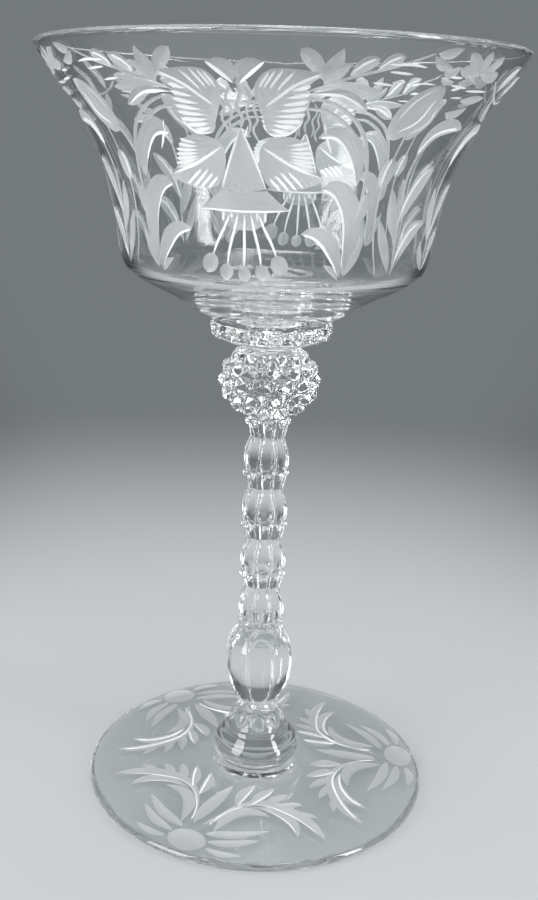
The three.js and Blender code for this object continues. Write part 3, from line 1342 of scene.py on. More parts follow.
@dataclass
class CutZone:
    """A patterned zone: clear glass with the cuts sunk into it, their outlines kept as edges."""

    chart: Chart
    cuts: Cuts  # of one repeat, in the order they are cut
    fill_gap: float = 0.42  # of the chart's spacing, that a filling point keeps from every outline
    spine_gap: float = 0.3  # mm that a point on a cut's spine keeps from them
    weld: float = 1e-4  # mm
    least_area: float = 2e-4  # mm2 of a triangle on the border
    lean: float = 0.6  # mm that a feathered cut's strokes gain from the spine in each mm along it
    slant: Point = (0.8, 0.75)  # their gain across, in each mm along the spine and away from it

    def __post_init__(self) -> None:
        """Lays the cuts on the chart, the bright lines last, and finds the last cut over each face."""
        self.drawn = [cut for item in self.cuts for cut in item.draw(self.chart)]
        self.drawn.sort(key=lambda cut: cut.finish is Surface.MITRE)
        self.flat, self.faces = self.divided()
        centres = self.flat[self.faces].mean(axis=1)
        self.region = np.full(len(self.faces), -1)
        for number, cut in enumerate(self.drawn):
            self.region[inside(centres, cut.outline)] = number
        LOG.info("pattern: %d cuts, %d faces in a repeat", len(self.drawn), len(self.faces))

    def divided(self) -> tuple[np.ndarray, np.ndarray]:
        """Divides one repeat into triangles, with the outlines of the cuts among their edges.

        Returns:
            The points, flat, and the triangles' corners.
        """
        border = self.chart.border()
        outlines = [cut.outline for cut in self.drawn]
        taken = np.vstack([*outlines, border])
        tree = KDTree(len(taken))
        for number, (x, y) in enumerate(taken):
            tree.insert((x, y, 0.0), number)
        tree.balance()
        spines = np.vstack([cut.spine[1:-1] for cut in self.drawn if cut.finish is Surface.SATIN])
        spread = ((self.chart.fill(), self.fill_gap * self.chart.spacing), (spines, self.spine_gap))
        free = [p for places, gap in spread for p in places if tree.find((p[0], p[1], 0.0))[2] > gap]
        points = np.vstack([border, *outlines, free])
        edges: list[tuple[int, int]] = []
        start = len(border)
        for outline in outlines:
            size = len(outline)
            edges.extend((start + i, start + (i + 1) % size) for i in range(size))
            start += size
        rim = [list(range(len(border)))]
        found = delaunay_2d_cdt([Vector(p) for p in points.tolist()], edges, rim, 1, self.weld, True)
        flat = np.array([tuple(v) for v in found[0]])
        faces = np.array(found[2])
        sides = flat[faces[:, 1:]] - flat[faces[:, :1]]
        area = np.abs(sides[:, 0, 0] * sides[:, 1, 1] - sides[:, 0, 1] * sides[:, 1, 0])
        on_border = np.array([any(i < len(border) for i in origins) for origins in found[3]])
        sliver = on_border[faces].all(axis=1) & (area < self.least_area)
        return flat, faces[inside(flat[faces].mean(axis=1), border) & ~sliver]

    def depths(self) -> np.ndarray:
        """Slopes each cut from its outline down to its spine, with the bright lines cut into the broad ones.

        Returns:
            For each point, its depth in mm.
        """
        ground = {finish: np.zeros(len(self.flat)) for finish in (Surface.SATIN, Surface.MITRE)}
        for cut in self.drawn:
            within = np.flatnonzero(inside(self.flat, cut.outline))
            if len(within):
                to_spine = nearest(self.flat[within], cut.spine)[0]
                to_edge = nearest(self.flat[within], np.vstack([cut.outline, cut.outline[:1]]))[0]
                share = to_spine / np.maximum(to_spine + to_edge, 1e-6)
                sunk = ground[cut.finish]
                sunk[within] = np.maximum(sunk[within], cut.depth * (1 - share**2))
        return sum(ground.values())

    def strokes(self) -> np.ndarray:
        """Finds how the wheel ran over each face.

        Returns:
            For each corner of each face, its place along and across the wheel's stroke, in mm.
        """
        strokes = self.flat[self.faces].astype(float)
        for number, cut in enumerate(self.drawn):
            mine = np.flatnonzero(self.region == number)
            if len(mine):
                distance, run, side = nearest(self.flat[self.faces[mine]].reshape(-1, 2), cut.spine)
                placed = (run, distance * side)
                if cut.feathered:
                    placed = (distance + self.lean * run, self.slant[0] * run - self.slant[1] * distance)
                strokes[mine] = np.column_stack(placed).reshape(len(mine), 3, 2)
        return strokes

    def add_to(self, draft: MeshDraft) -> None:
        """Adds every repeat to a mesh, with a soft shading within each cut and a crisp edge round it.

        Args:
            draft: The mesh.
        """
        chart, faces = self.chart, self.faces
        depth, strokes = self.depths(), self.strokes()
        ground = [cut.finish.value for cut in self.drawn]
        finishes = np.array([ground[r] if r >= 0 else Surface.POLISHED.value for r in self.region])
        angle, along = chart.unroll(self.flat)
        radius, height = follow(along, chart.along, chart.profile).T
        out = follow(along, chart.along, outward(chart.profile))
        out /= np.linalg.norm(out, axis=1)[:, None]
        for repeat in range(chart.repeats):
            turned = angle + chart.turn + repeat * 2 * chart.half + FRONT
            cosine, sine = np.cos(turned), np.sin(turned)
            smooth = np.column_stack([out[:, 0] * cosine, out[:, 0] * sine, out[:, 1]])
            placed = np.column_stack([radius * cosine, radius * sine, height]) - smooth * depth[:, None]
            a, b, c = (placed[faces[:, k]] for k in range(3))
            face_normals = np.cross(b - a, c - a)
            flipped = (face_normals * smooth[faces[:, 0]]).sum(axis=1) < 0
            turned_faces = np.where(flipped[:, None], faces[:, ::-1], faces)
            turned_strokes = np.where(flipped[:, None, None], strokes[:, ::-1], strokes)
            face_normals[flipped] *= -1
            corner_normals = smooth[turned_faces]
            for number in set(self.region[self.region >= 0].tolist()):
                mine = self.region == number
                total = np.zeros((len(self.flat), 3))
                for k in range(3):
                    np.add.at(total, turned_faces[mine, k], face_normals[mine])
                total /= np.maximum(np.linalg.norm(total, axis=1), 1e-12)[:, None]
                corner_normals[mine] = total[turned_faces[mine]]
            draft.add(placed, turned_faces, finishes, corner_normals, turned_strokes)


def both_sides(cuts: Cuts) -> list[Stroke | Facet]:
    """Each cut and its mirror image on the other side of the pattern's middle."""
    return [copy for cut in cuts for copy in (cut, cut.mirrored())]


def mitre(*path: Point, width: float = 0.5) -> Stroke:
    """A line of the mitre wheel through places of the pattern, in the finish painted bright as a highlight.
    """
    return Stroke(path, width, point=0.5, finish=Surface.MITRE)


def stem_line(*path: Point, width: float = 0.75) -> Stroke:
    """A thin stalk of even width, ground with the stone wheel."""
    return Stroke(path, width, point=0.2)


def leaf(*path: Point, width: float, **form: float) -> Stroke:
    """A plain leaf or petal along places of the pattern."""
    return Stroke(path, width, **form)


def ribbed_leaf(*path: Point, width: float, point: float = 0.7, **form: float) -> Stroke:
    """A leaf with a bright rib along places of the pattern."""
    return Stroke(path, width, point=point, ribbed=True, **form)


def feather(
    edge: Sequence[Point], inner: Sequence[Point], count: int, width: float, sag: float = 0.16
) -> list[Stroke]:
    """Tapered strokes in the mitre finish, painted bright as highlights, that run side by side from a leaf's
    toothed edge inward.

    Args:
        edge: The line that they start on.
        inner: The line that they end on.
        count: How many there are.
        width: The width of each in mm.
        sag: How far the middle of each hangs below the straight line, in mm.

    Returns:
        The strokes.
    """
    places = np.linspace(0, 1, count)
    lines = [follow(places, np.linspace(0, 1, len(line)), np.array(line)).tolist() for line in (edge, inner)]
    strokes = []
    for start, stop in zip(*lines):
        middle = ((start[0] + stop[0]) / 2, (start[1] + stop[1]) / 2 - sag)
        path = (tuple(start), middle, tuple(stop))
        strokes.append(Stroke(path, width, belly=0.36, point=0.75, finish=Surface.MITRE))
    return strokes


@dataclass(frozen=True)
class BowlPattern:
    """The cutting on the bowl: twice round, a bell flower between four broad leaves, with sprays beside it.

    Places are degrees from the group's middle and heights in mm. Each group but the last two is mirrored.
    """

    near_spray: Cuts = (  # the arching stalk beside the flower and the leaves at its foot
        stem_line(
            (14.8, 149.6), (20.2, 149.4), (26.0, 147.6), (30.6, 145.0), (33.8, 141.4), (35.8, 136.0),
            (35.0, 128.6), (32.8, 119.7), width=0.8,
        ),
        stem_line((14.8, 148.1), (20.0, 147.9), (25.2, 146.2), (29.6, 143.6), (32.8, 139.0), width=0.8),
        ribbed_leaf(
            (19.6, 143.6), (25.0, 143.3), (29.9, 140.0), (33.2, 136.0),
            width=3.2, left=0.9, belly=0.45,
        ),
        ribbed_leaf(
            (22.4, 135.2), (27.4, 133.6), (31.2, 128.8), (32.2, 120.2),
            width=3.8, left=0.92, belly=0.36,
        ),
        ribbed_leaf(
            (17.4, 127.4), (22.8, 126.3), (27.8, 123.0), (31.4, 119.8),
            width=3.0, left=0.9, belly=0.45, point=0.75,
        ),
        leaf((25.6, 122.0), (28.6, 121.0), (31.2, 119.3), width=1.2),
        leaf((37.8, 135.0), (36.6, 131.6), (34.0, 128.6), width=2.4, left=0.45, point=0.7),
        leaf((38.6, 127.6), (36.4, 123.6), (33.2, 120.0), width=1.6),
        mitre((20.6, 146.0), (22.0, 143.4), (24.0, 141.0), width=0.45),
    )
    bud_and_pod: Cuts = (  # the hanging bud and the large seed pod
        ribbed_leaf((43.4, 140.8), (42.2, 138.2), (41.8, 135.2), width=3.2, point=0.55),
        stem_line((44.6, 146.4), (43.2, 141.0), (41.8, 135.0), (42.4, 127.0), (45.6, 119.6), width=0.5),
        leaf((38.6, 143.8), (43.6, 148.0), (49.2, 152.4), width=6.6, point=0.52),
        mitre((40.2, 146.6), (43.0, 149.6), (47.2, 151.8), width=0.36),
        mitre((41.6, 144.8), (46.6, 146.8), (49.0, 150.2), width=0.36),
    )
    far_spray: Cuts = (  # the upright spray with curling leaves
        stem_line((52.8, 119.4), (52.6, 125.4), (51.6, 131.4), (50.8, 138.0), (52.6, 143.2), width=0.7),
        ribbed_leaf((51.2, 141.0), (55.4, 144.4), (60.4, 145.4), (66.6, 145.8), width=3.2, left=0.85),
        ribbed_leaf(
            (52.0, 128.6), (54.6, 133.4), (58.2, 137.2), (62.4, 139.4),
            width=3.4, left=0.4, belly=0.62,
        ),
        ribbed_leaf((53.2, 120.6), (56.6, 125.0), (61.0, 128.0), (66.4, 129.2), width=3.2, belly=0.6),
        leaf((52.0, 126.0), (48.6, 130.6), (46.8, 135.2), width=2.6),
        leaf((51.6, 120.0), (47.0, 125.6), (43.4, 130.2), width=2.2),
        leaf((57.2, 150.4), (61.4, 150.6), (67.4, 151.2), width=1.8),
        leaf((54.2, 148.4), (58.2, 148.2), (62.4, 149.4), width=1.8),
        mitre((48.6, 153.9), (52.8, 153.9)),
        mitre((50.2, 152.7), (56.4, 152.4)),
        mitre((56.4, 152.0), (66.0, 152.2)),
    )
    side_flower: Cuts = (  # the open flower under the rim beside the far spray
        *(
            leaf((58.4, 154.6), tip, width=2.4, point=0.6, belly=0.6)
            for tip in ((51.4, 157.6), (57.6, 158.3), (64.4, 157.6), (66.8, 154.4), (50.4, 155.2))
        ),
        leaf((42.2, 157.2), (45.4, 157.2), (48.4, 158.2), width=2.0),
        leaf((41.8, 156.8), (45.0, 155.4), (48.2, 155.2), width=1.8),
    )
    side_spray: Cuts = (  # the spray that fills the space between one group and the next
        stem_line((74.4, 119.4), (73.4, 127.0), (71.4, 134.6), (72.4, 141.4), width=0.7),
        ribbed_leaf((72.2, 139.0), (75.6, 143.0), (80.6, 145.0), (86.4, 145.4), width=3.2, left=0.85),
        ribbed_leaf(
            (73.8, 125.6), (76.8, 130.6), (81.2, 134.2), (86.6, 135.6),
            width=3.4, left=0.4, belly=0.62,
        ),
        ribbed_leaf((74.8, 119.8), (78.2, 123.6), (82.4, 126.0), (87.0, 126.8), width=2.8, belly=0.6),
        leaf((73.6, 125.0), (70.4, 130.4), (68.0, 135.6), width=2.6),
        leaf((73.6, 119.8), (69.4, 122.6), (67.6, 125.8), width=2.0),
        stem_line((66.8, 154.0), (73.6, 151.6), (80.4, 150.6), (87.4, 151.2), width=0.6),
        leaf((72.4, 152.2), (74.8, 155.0), (78.8, 156.8), width=2.8),
        leaf((79.0, 151.0), (82.0, 153.8), (86.4, 155.4), width=2.8),
        leaf((74.0, 151.2), (77.0, 148.6), (81.0, 147.4), width=2.2),
        mitre((73.0, 152.6), (75.4, 155.0), (78.4, 156.4), width=0.4),
        mitre((79.6, 151.4), (82.6, 153.8), (86.0, 155.1), width=0.4),
    )
    crown: Cuts = (  # the small leaves in a row under the rim
        leaf((0.6, 151.7), (3.0, 153.0), (6.2, 154.8), width=3.0, left=0.95, belly=0.45, point=0.55),
        mitre((0.6, 151.6), (3.0, 152.9), (6.2, 154.8), width=0.5),
        leaf((18.8, 152.4), (16.2, 155.0), (13.2, 156.9), width=2.8, belly=0.62, point=0.6),
        leaf((18.9, 152.0), (20.6, 154.4), (21.7, 157.0), width=3.0, left=0.6, belly=0.42),
        leaf((18.8, 151.8), (21.8, 153.8), (24.0, 155.2), width=2.4, belly=0.4),
        ribbed_leaf((24.0, 153.2), (26.5, 154.8), (29.6, 155.9), width=2.6, belly=0.6, point=0.6),
        ribbed_leaf((29.6, 153.9), (32.0, 155.4), (35.0, 156.4), width=2.6, belly=0.6, point=0.6),
        mitre((32.0, 155.0), (37.0, 155.3), (41.2, 155.0)),
        mitre((32.4, 154.1), (38.4, 153.9)),
        mitre((29.4, 152.4), (34.8, 152.1)),
        stem_line((14.0, 150.4), (19.5, 151.7), (25.0, 153.1), (34.8, 155.2), (42.0, 157.2), width=0.6),
        leaf((15.4, 150.7), (24.0, 152.2), (32.6, 151.0), width=2.4, left=0.1, belly=0.65),
        leaf((15.4, 150.4), (23.5, 150.6), (30.6, 148.2), width=2.4, left=0.35, belly=0.7),
        mitre((16.0, 150.8), (24.0, 152.2), (32.4, 151.1), width=0.45),
        mitre((16.0, 150.3), (23.5, 150.1), (30.2, 148.2), width=0.45),
    )
    broad_leaves: Cuts = (  # serrated, with veins on one side of the rib and feather strokes on the other
        Facet(
            (
                (6.2, 145.6), (7.0, 144.2), (11.0, 144.0), (13.8, 145.1), (15.3, 146.6), (15.6, 148.6),
                (15.6, 151.4), (18.2, 153.2), (15.8, 153.7), (12.9, 153.9), (9.8, 154.0), (6.7, 153.6),
                (4.4, 152.0), (3.9, 150.0), (5.0, 147.6),
            ),
            ((6.6, 147.6), (9.7, 149.8), (12.9, 151.4), (17.0, 152.9)),
            leafy=True,
        ),
        Facet(
            (
                (4.6, 140.6), (6.0, 142.6), (9.4, 143.5), (13.2, 143.6), (16.4, 142.8), (18.0, 141.6),
                (18.7, 140.1), (19.3, 138.6), (22.6, 136.9), (19.4, 135.6), (13.4, 134.9), (8.0, 135.2),
                (5.4, 137.4),
            ),
            ((6.4, 141.2), (10.2, 139.9), (15.2, 138.4), (21.4, 137.0)),
            leafy=True,
        ),
        *feather(
            ((16.2, 151.6), (16.4, 149.6), (16.3, 147.8), (15.2, 145.9), (12.6, 144.3)),
            ((12.2, 150.6), (10.2, 148.6), (9.0, 147.0), (8.2, 145.8), (7.6, 144.8)),
            8,
            0.75,
        ),
        *feather(
            ((17.2, 142.9), (19.0, 141.2), (19.8, 139.6), (20.4, 138.0)),
            ((12.6, 142.2), (12.4, 141.0), (12.7, 140.0), (12.8, 139.2)),
            7,
            0.66,
        ),
        mitre((15.4, 146.4), (13.7, 144.9), (11.0, 143.9), (7.0, 144.1), width=0.5),
        mitre((6.1, 148.0), (9.7, 149.8), (12.9, 151.4), (17.8, 153.1), width=0.6),
        mitre((5.4, 141.8), (10.2, 139.9), (15.2, 138.4), (22.2, 136.9), width=0.6),
        mitre((8.7, 150.4), (12.5, 153.5)),
        mitre((7.1, 150.7), (10.1, 153.7)),
        mitre((5.9, 150.9), (8.4, 153.6)),
        mitre((4.8, 150.9), (7.1, 153.4)),
        mitre((17.4, 135.2), (12.4, 137.9)),
        mitre((15.5, 134.7), (10.2, 137.9)),
        mitre((13.4, 134.6), (8.8, 137.3)),
        mitre((10.8, 134.7), (7.4, 136.8)),
    )
    stalk: Cuts = (  # wavy; the flower hangs from it, with a tendril to each side
        stem_line((0, 144.7), (0.7, 146.4), (-0.5, 148.2), (0.6, 150.2), (0, 152.4), width=0.7),
        *both_sides(
            [
                stem_line((1.6, 151.4), (2.9, 149.4), (1.7, 147.6), (2.6, 145.6), (2.0, 143.8), width=0.5),
                stem_line((4.0, 149.6), (3.6, 147.8), (4.4, 146.2), (3.2, 144.6), (4.6, 142.8), width=0.5),
            ]
        ),
    )
    flower: Cuts = (  # the hanging bell flower with its stamens
        Facet(((0, 144.8), (6.6, 134.9), (0, 134.2), (-6.6, 134.9)), ((0, 144.0), (0, 134.6))),
        Facet(
            (
                (-6.8, 134.7), (0, 134.3), (6.8, 134.7), (10.2, 132.9),
                (13.6, 131.4), (0, 131.0), (-13.6, 131.4), (-10.2, 132.9),
            ),
            ((-9, 132.2), (9, 132.2)),
        ),
        Facet(
            ((-7.2, 131.1), (7.2, 131.1), (6.2, 128.9), (3.2, 127.8), (-3.2, 127.8), (-6.2, 128.9)),
            ((-3, 129.6), (3, 129.6)),
        ),
        leaf((0, 121.4), (0.2, 118.6), width=2.4, point=0.5),
        *both_sides(
            [
                leaf((10.0, 123.6), (12.8, 119.9), width=3.0, point=0.5),
                leaf((5.2, 121.9), (6.6, 118.8), width=2.5, point=0.5),
            ]
        ),
        mitre((0, 130.6), (0.1, 125.0), (0, 120.4)),
        *both_sides(
            [
                mitre((4.4, 130.6), (6.4, 128.0), (8.8, 125.4), (10.6, 122.8)),
                mitre((1.9, 130.6), (3.2, 127.6), (4.7, 124.4), (5.6, 121.2)),
                mitre((6.4, 131.0), (6.6, 129.2), width=0.4),
                mitre((3.9, 131.0), (4.0, 129.6), width=0.4),
            ]
        ),
        mitre((0, 144.9), (6.7, 134.6), width=0.42),
        mitre((0, 144.9), (-6.7, 134.6), width=0.42),
        mitre((-13.4, 131.35), (0, 131.0), (13.4, 131.35), width=0.42),
    )

    def cuts(self) -> list[Stroke | Facet]:
        """Every cut of one group, in the order they are made."""
        sprays = [*self.near_spray, *self.bud_and_pod, *self.far_spray, *self.side_flower, *self.side_spray]
        return [*both_sides([*sprays, *self.crown, *self.broad_leaves]), *self.stalk, *self.flower]


@dataclass(frozen=True)
class FootPattern:
    """The cutting on the foot: three times round, a flower by the edge with a curling spray to each side.

    Places are degrees from the flower and distances from the axis in mm.
    """

    spray: Cuts = (  # curls to each side of the flower
        leaf((5.0, 31.0), (18.0, 29.6), (31.0, 28.0), width=2.4, belly=0.4),
        leaf((7.0, 33.2), (16.0, 32.6), (26.5, 31.0), width=2.2, belly=0.45),
        leaf((7.5, 35.2), (13.0, 36.1), (20.0, 36.0), width=1.8, belly=0.45),
        ribbed_leaf(
            (4.0, 29.2), (7.0, 24.2), (17.0, 20.2), (31.0, 19.6), (42.0, 22.6), (48.5, 27.4), (51.0, 33.2),
            width=2.6, left=0.2, belly=0.72, point=0.75,
        ),
        ribbed_leaf(
            (22.0, 20.4), (34.0, 22.0), (41.0, 26.0), (42.0, 30.4),
            width=2.4, left=0.2, belly=0.6, point=0.75,
        ),
        leaf((7.5, 29.6), (13.0, 24.4), (22.0, 22.4), (33.0, 23.6), width=2.8, left=0.3),
        ribbed_leaf((13.0, 20.6), (18.0, 16.6), (25.0, 13.2), width=2.6, left=0.2, point=0.8),
        ribbed_leaf((21.0, 19.6), (32.0, 16.8), (42.0, 14.6), width=2.4, left=0.25, point=0.8),
        leaf((30.0, 19.4), (41.0, 18.4), (50.5, 17.4), width=2.2, left=0.3),
        leaf((37.0, 20.4), (46.0, 20.6), (54.0, 21.4), width=1.9),
        leaf((43.0, 23.2), (50.0, 24.4), (55.5, 26.6), width=1.7),
    )
    inward: Cuts = (  # leaves that run from the flower to the stem
        leaf((-2.5, 28.6), (0.5, 21.0), (5.0, 14.2), width=3.2, left=0.35, belly=0.45),
        leaf((1.5, 28.6), (10.0, 23.6), (20.0, 18.6), width=1.8),
    )
    disc: Stroke = leaf((-7.4, 34.3), (0.0, 34.2), (7.4, 34.3), width=6.4, point=0.5)  # the flower

    def cuts(self) -> list[Stroke | Facet]:
        """Every cut of one flower and its sprays."""
        return [*both_sides(self.spray), *self.inward, self.disc]


@dataclass
class CutPiece(ABC):
    """A round piece with a cut pattern: layers of surface from one end of its profile to the other."""

    name: str
    node: str
    pattern_turn: float  # of the pattern's middle against the front, in radians
    repeats: int
    columns: int = 240

    @abstractmethod
    def layers(self, low: float, high: float, edge: float) -> list[tuple[np.ndarray, Surface] | CutZone]:
        """The surfaces of the piece.

        Args:
            low: The height of its lower end, in mm.
            high: The height of its upper end.
            edge: Its largest radius.

        Returns:
            Plain profiles with their finishes, and the patterned zone.
        """

    def build(self, materials: Materials) -> None:
        """Makes the piece in place of its solid.

        Args:
            materials: The finishes, in the order of Surface.
        """
        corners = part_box(self.node)
        low, high, edge = corners[0].z / MM, corners[1].z / MM, corners[1].x / MM
        draft = MeshDraft(self.columns, self.pattern_turn - math.pi / self.repeats)
        for layer in self.layers(low, high, edge):
            if isinstance(layer, CutZone):
                layer.add_to(draft)
            else:
                draft.revolve(*layer)
        stand_in(draft.build(self.name), materials, self.node)


@dataclass
class Bowl(CutPiece):
    """The blown bowl: a cone below, a round shoulder and a bell-shaped wall, with the pattern cut outside."""

    name: str = "cut_bowl"
    node: str = "bowl"
    pattern_turn: float = math.radians(-9.6)
    repeats: int = 2
    seat_radius: float = 12.1
    lip: float = 1.2
    floor_thickness: float = 2.3
    shoulder_thickness: float = 2.0
    thinning: float = 1.6  # how much sooner than at the rim the wall is down to the lip's thickness
    seat_share: float = 0.16  # of the outer wall's length, beside which the inside is the floor
    step: float = 0.5  # mm between rows of the outer wall
    lip_step: float = 0.14
    inner_step: float = 1.0
    knot_every: int = 6  # rows of the outer wall that the inner one is drawn through
    floor_gap: float = 1.2  # mm of radius between the inner wall's last knot and the floor's first
    pattern_low: float = 118.2
    pattern_high: float = 158.55
    wall: tuple[Point, ...] = (
        (12.1, 107.2), (16.0, 109.1), (21.0, 112.2), (26.4, 114.9), (29.8, 117.1), (31.3, 120.2),
        (32.1, 125.2), (33.8, 133.8), (36.4, 141.0), (40.4, 148.5), (44.6, 154.3), (47.45, 158.7),
    )
    floor: tuple[Point, ...] = ((14.5, 1.7), (8.0, 0.4), (0.0, 0.0))  # radii and heights over its middle

    def inner(self, outer: np.ndarray, low: float) -> np.ndarray:
        """The inner wall, from the lip down to the middle of the floor.

        Args:
            outer: The outer wall, from the seat up.
            low: The height of the seat.

        Returns:
            Radii and heights.
        """
        along = arc_length(outer)
        share = along / along[-1]
        thinner = (self.lip - self.shoulder_thickness) * np.minimum(1, share * self.thinning)
        thickness = self.shoulder_thickness + thinner
        wall = (outer - outward(outer) * thickness[:, None])[share > self.seat_share][::-1]
        lip_top = (float(outer[-1, 0]) + 0.25 - self.lip, float(outer[-1, 1]) + 0.8)
        upper = [lip_top, *[tuple(p) for p in wall[1 :: self.knot_every].tolist()]]
        middle = low + self.floor_thickness
        above = [p for p in upper if p[0] > self.floor[0][0] + self.floor_gap]
        floor = [(radius, middle + lift) for radius, lift in self.floor]
        return spline([*above, *floor], self.inner_step)

    def layers(self, low: float, high: float, edge: float) -> list[tuple[np.ndarray, Surface] | CutZone]:
        """The seat, the outer wall with its pattern, the lip and the inside.

        Args:
            low: The height of the seat, in mm.
            high: The height of the lip.
            edge: The rim's outer radius.

        Returns:
            Plain profiles with their finishes, and the patterned zone.
        """
        outer = spline(self.wall, self.step)
        start, stop = (int(np.searchsorted(outer[:, 1], z)) for z in (self.pattern_low, self.pattern_high))
        middle = edge - self.lip / 2
        crest = [(middle + 0.32, high - 0.04), (middle, high), (middle - 0.32, high - 0.04)]
        round_lip = [tuple(outer[-1]), (edge, high - 0.6), *crest, (edge - self.lip, high - 0.5)]
        lip = spline(round_lip, self.lip_step)
        chart = WallChart(outer[start : stop + 1], self.repeats, self.columns, self.pattern_turn)
        return [
            (spline([(0.0, low), (self.seat_radius, low)], self.seat_radius / 2 + 0.05), Surface.SEAM),
            (outer[: start + 1], Surface.POLISHED),
            CutZone(chart, BowlPattern().cuts()),
            (np.vstack([outer[stop:], lip[1:]]), Surface.POLISHED),
            (np.vstack([lip[-1:], self.inner(outer, low)[1:]]), Surface.POLISHED),
        ]


@dataclass
class Foot(CutPiece):
    """The pressed disc foot: a low cone on top, cut with three flowers, on a standing ring polished like the
    rest.
    """

    name: str = "cut_foot"
    node: str = "foot"
    pattern_turn: float = math.radians(-23.5)
    repeats: int = 3
    seam_radius: float = 8.7
    dish: float = 1.0
    ring_inner: float = 30.0
    ring_outer: float = 36.6
    pattern_inner: float = 12.0
    step: float = 0.6  # mm between rows of the top
    edge_step: float = 0.15
    under_step: float = 1.0
    top: tuple[Point, ...] = ((37.5, 2.4), (30.0, 2.75), (20.0, 3.4), (12.0, 4.2), (9.6, 5.0))

    def layers(self, low: float, high: float, edge: float) -> list[tuple[np.ndarray, Surface] | CutZone]:
        """The underside, the rounded edge, the top with its pattern, the crown and the seam.

        Args:
            low: The height of the standing ring, in mm. Not used.
            high: The height of the crown.
            edge: The foot's radius.

        Returns:
            Plain profiles with their finishes, and the patterned zone.
        """
        top = spline(self.top, self.step)
        stop = int(np.searchsorted(-top[:, 0], -self.pattern_inner))
        hollow = [(0.0, self.dish), (10.0, 0.9 * self.dish), (22.0, 0.42 * self.dish), (self.ring_inner, 0.0)]
        ring = spline([(self.ring_inner, 0.0), (self.ring_outer, 0.0)], self.under_step)
        round_edge = [(edge - 0.8, 0.3), (edge, 1.2), (edge - 0.35, 2.1), (edge - 1.0, 2.4)]
        chart = DiscChart(top[: stop + 1], self.repeats, self.columns, self.pattern_turn)
        return [
            (np.vstack([spline(hollow, self.under_step), ring[1:]]), Surface.POLISHED),
            (spline([(self.ring_outer, 0.0), *round_edge], self.edge_step), Surface.POLISHED),
            CutZone(chart, FootPattern().cuts()),
            (np.vstack([top[stop:], [(self.seam_radius, high)]]), Surface.POLISHED),
            (spline([(self.seam_radius, high), (0.0, high)], self.seam_radius / 2 + 0.05), Surface.SEAM),
        ]


@dataclass(frozen=True)
class Softbox:
    """A lamp behind a cloth front, that faces the bowl and isn't seen by the camera itself."""

    name: str
    place: tuple[float, float, float]  # of its middle, in mm
    size: Point  # width and height in mm
    power: float  # watts
    aim: tuple[float, float, float] = (0, 0, 100)

    def hang(self) -> None:
        """Hangs it in the scene."""
        data = bpy.data.lights.new(self.name, "AREA")
        data.shape = "RECTANGLE"
        data.size, data.size_y = (length * MM for length in self.size)
        data.energy = self.power
        lamp = bpy.data.objects.new(self.name, data)
        lamp.location = Vector(self.place) * MM
        lamp.rotation_euler = (Vector(self.aim) - Vector(self.place)).to_track_quat("-Z", "Y").to_euler()
        lamp.visible_camera = False
        bpy.context.scene.collection.objects.link(lamp)


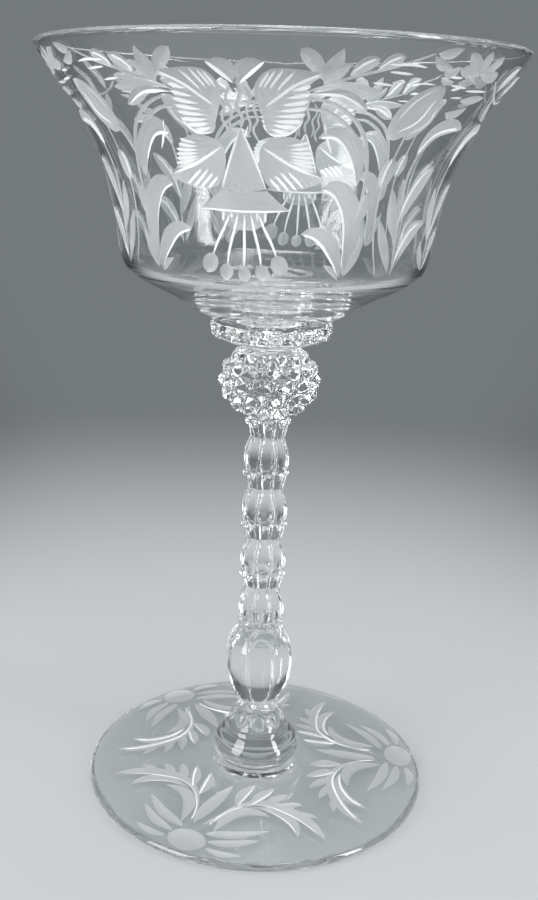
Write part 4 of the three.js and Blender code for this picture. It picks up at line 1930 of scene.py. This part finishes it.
@dataclass
class Studio:
    """Paper sweep, soft lamps and the camera at the photograph's angle."""

    paper: StudioPaper = field(default_factory=StudioPaper)
    fill_colour: str = "#EEF1F3"
    fill_strength: float = 0.34
    dusk_from: float = 0.1  # the rise over the horizon at which the backdrop begins to darken
    dusk_to: float = 0.75
    floor_reach: float = 4000.0
    floor_gap: float = 0.05  # mm under the standing ring
    softboxes: tuple[Softbox, ...] = (
        Softbox("key_softbox", (-500, -380, 300), (320, 560), 4.6),  # large, at the left front
        Softbox("right_softbox", (520, -260, 260), (130, 520), 2.8),  # a tall strip
        Softbox("top_softbox", (40, 60, 760), (380, 150), 1.3),
    )
    focal_px: float = 1072.3
    principal_px: Point = (240.0, 450.0)
    sensor_mm: float = 36.0
    camera_mm: tuple[float, float, float] = (0.0, -222.5, 144.0)
    clip_start: float = 0.01
    pitch_deg: float = 16.44
    yaw_deg: float = -1.49
    roll_deg: float = 1.76
    bounces: int = 40
    glossy_bounces: int = 16
    transparent_bounces: int = 96

    def lay_floor(self) -> None:
        """Lays the paper just under the standing ring."""
        far = self.floor_reach
        sides = ((-far, -far), (far, -far), (far, far), (-far, far))
        corners = np.array([(x, y, -self.floor_gap) for x, y in sides])
        floor = link(new_mesh("paper_sweep", corners, [[0, 1, 2, 3]], [0]), [self.paper.build()])

    def light_world(self) -> None:
        """A backdrop for what is seen directly or in the glass, and a soft fill for the rest."""
        world = bpy.data.worlds.new("studio")
        bpy.context.scene.world = world
        world.use_nodes = True
        tree = world.node_tree
        tree.nodes.clear()
        path = add_node(tree, "LightPath", {}).outputs
        rays = {0: path["Is Camera Ray"], 1: path["Is Glossy Ray"]}
        seen = add_node(tree, "Math", rays, operation="MAXIMUM").outputs[0]
        rays = {0: seen, 1: path["Is Transmission Ray"]}
        seen = add_node(tree, "Math", rays, operation="MAXIMUM").outputs[0]
        direction = add_node(tree, "TexCoord", {}).outputs["Generated"]
        height = add_node(tree, "SeparateXYZ", {0: direction}).outputs["Z"]
        limits = {"Value": height, "From Min": self.dusk_from, "From Max": self.dusk_to}
        rise = add_node(tree, "MapRange", limits, interpolation_type="SMOOTHSTEP").outputs["Result"]
        tones = self.paper.backdrop
        colours = {0: rise, 6: tones.tone(tree, direction), 7: linear(tones.ceiling_colour)}
        colour = add_node(tree, "Mix", colours, data_type="RGBA").outputs[2]
        soft = {"Color": linear(self.fill_colour), "Strength": self.fill_strength}
        fill = add_node(tree, "Background", soft)
        backdrop = add_node(tree, "Background", {"Color": colour, "Strength": 1.0})
        mixed = add_node(tree, "MixShader", {0: seen, 1: fill.outputs[0], 2: backdrop.outputs[0]})
        add_node(tree, "OutputWorld", {"Surface": mixed.outputs[0]})

    def place_camera(self) -> None:
        """Stands the camera where the photograph's perspective puts it."""
        yaw, pitch, roll = (math.radians(angle) for angle in (self.yaw_deg, self.pitch_deg, self.roll_deg))
        level = math.cos(pitch)
        forward = Vector((math.sin(yaw) * level, math.cos(yaw) * level, -math.sin(pitch)))
        right = Vector((math.cos(yaw), -math.sin(yaw), 0))
        up = right.cross(forward)
        turned_right = right * math.cos(roll) + up * math.sin(roll)
        turned_up = up * math.cos(roll) - right * math.sin(roll)
        data = bpy.data.cameras.new("camera")
        data.sensor_width = self.sensor_mm
        data.lens = self.focal_px / IMAGE_HEIGHT * self.sensor_mm
        data.shift_x = (IMAGE_WIDTH / 2 - self.principal_px[0]) / IMAGE_HEIGHT
        data.clip_start = self.clip_start
        camera = bpy.data.objects.new("camera", data)
        basis = Matrix((turned_right, turned_up, -forward)).transposed()
        camera.matrix_world = Matrix.Translation(Vector(self.camera_mm) * MM) @ basis.to_4x4()
        bpy.context.scene.collection.objects.link(camera)
        bpy.context.scene.camera = camera

    def build(self) -> None:
        """Sets up floor, light and camera, and lets a ray pass all the walls of a glass inside a glass."""
        bpy.context.scene.view_settings.view_transform = "Standard"
        self.lay_floor()
        self.light_world()
        for softbox in self.softboxes:
            softbox.hang()
        self.place_camera()
        cycles = bpy.context.scene.cycles
        cycles.max_bounces = cycles.transmission_bounces = self.bounces
        cycles.glossy_bounces = self.glossy_bounces
        cycles.transparent_max_bounces = self.transparent_bounces
        LOG.info("studio ready")


def main() -> None:
    """Builds the glass round the frame."""
    logging.basicConfig(level=logging.INFO, format="%(name)s: %(message)s")
    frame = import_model()
    LOG.info("frame: %d nodes", len(frame["nodes"]))
    Studio().build()
    crystal, seam = FirePolishedCrystal().build(), HotSeam().build()
    finishes = [crystal, seam, SatinCut().build(), MitreCut().build()]
    Bowl().build(finishes)
    lengths = [ColumnLength(index=i) for i in range(LENGTHS)]
    lower = [NeckBeadRing(), RibbedBaluster(), FootRosette(), FootBell()]
    for section in [BeadCollar(), HobnailBall(), *lengths, *lower]:
        section.build([crystal, seam])
    Foot().build(finishes)


if __name__ == "__main__":
    main()
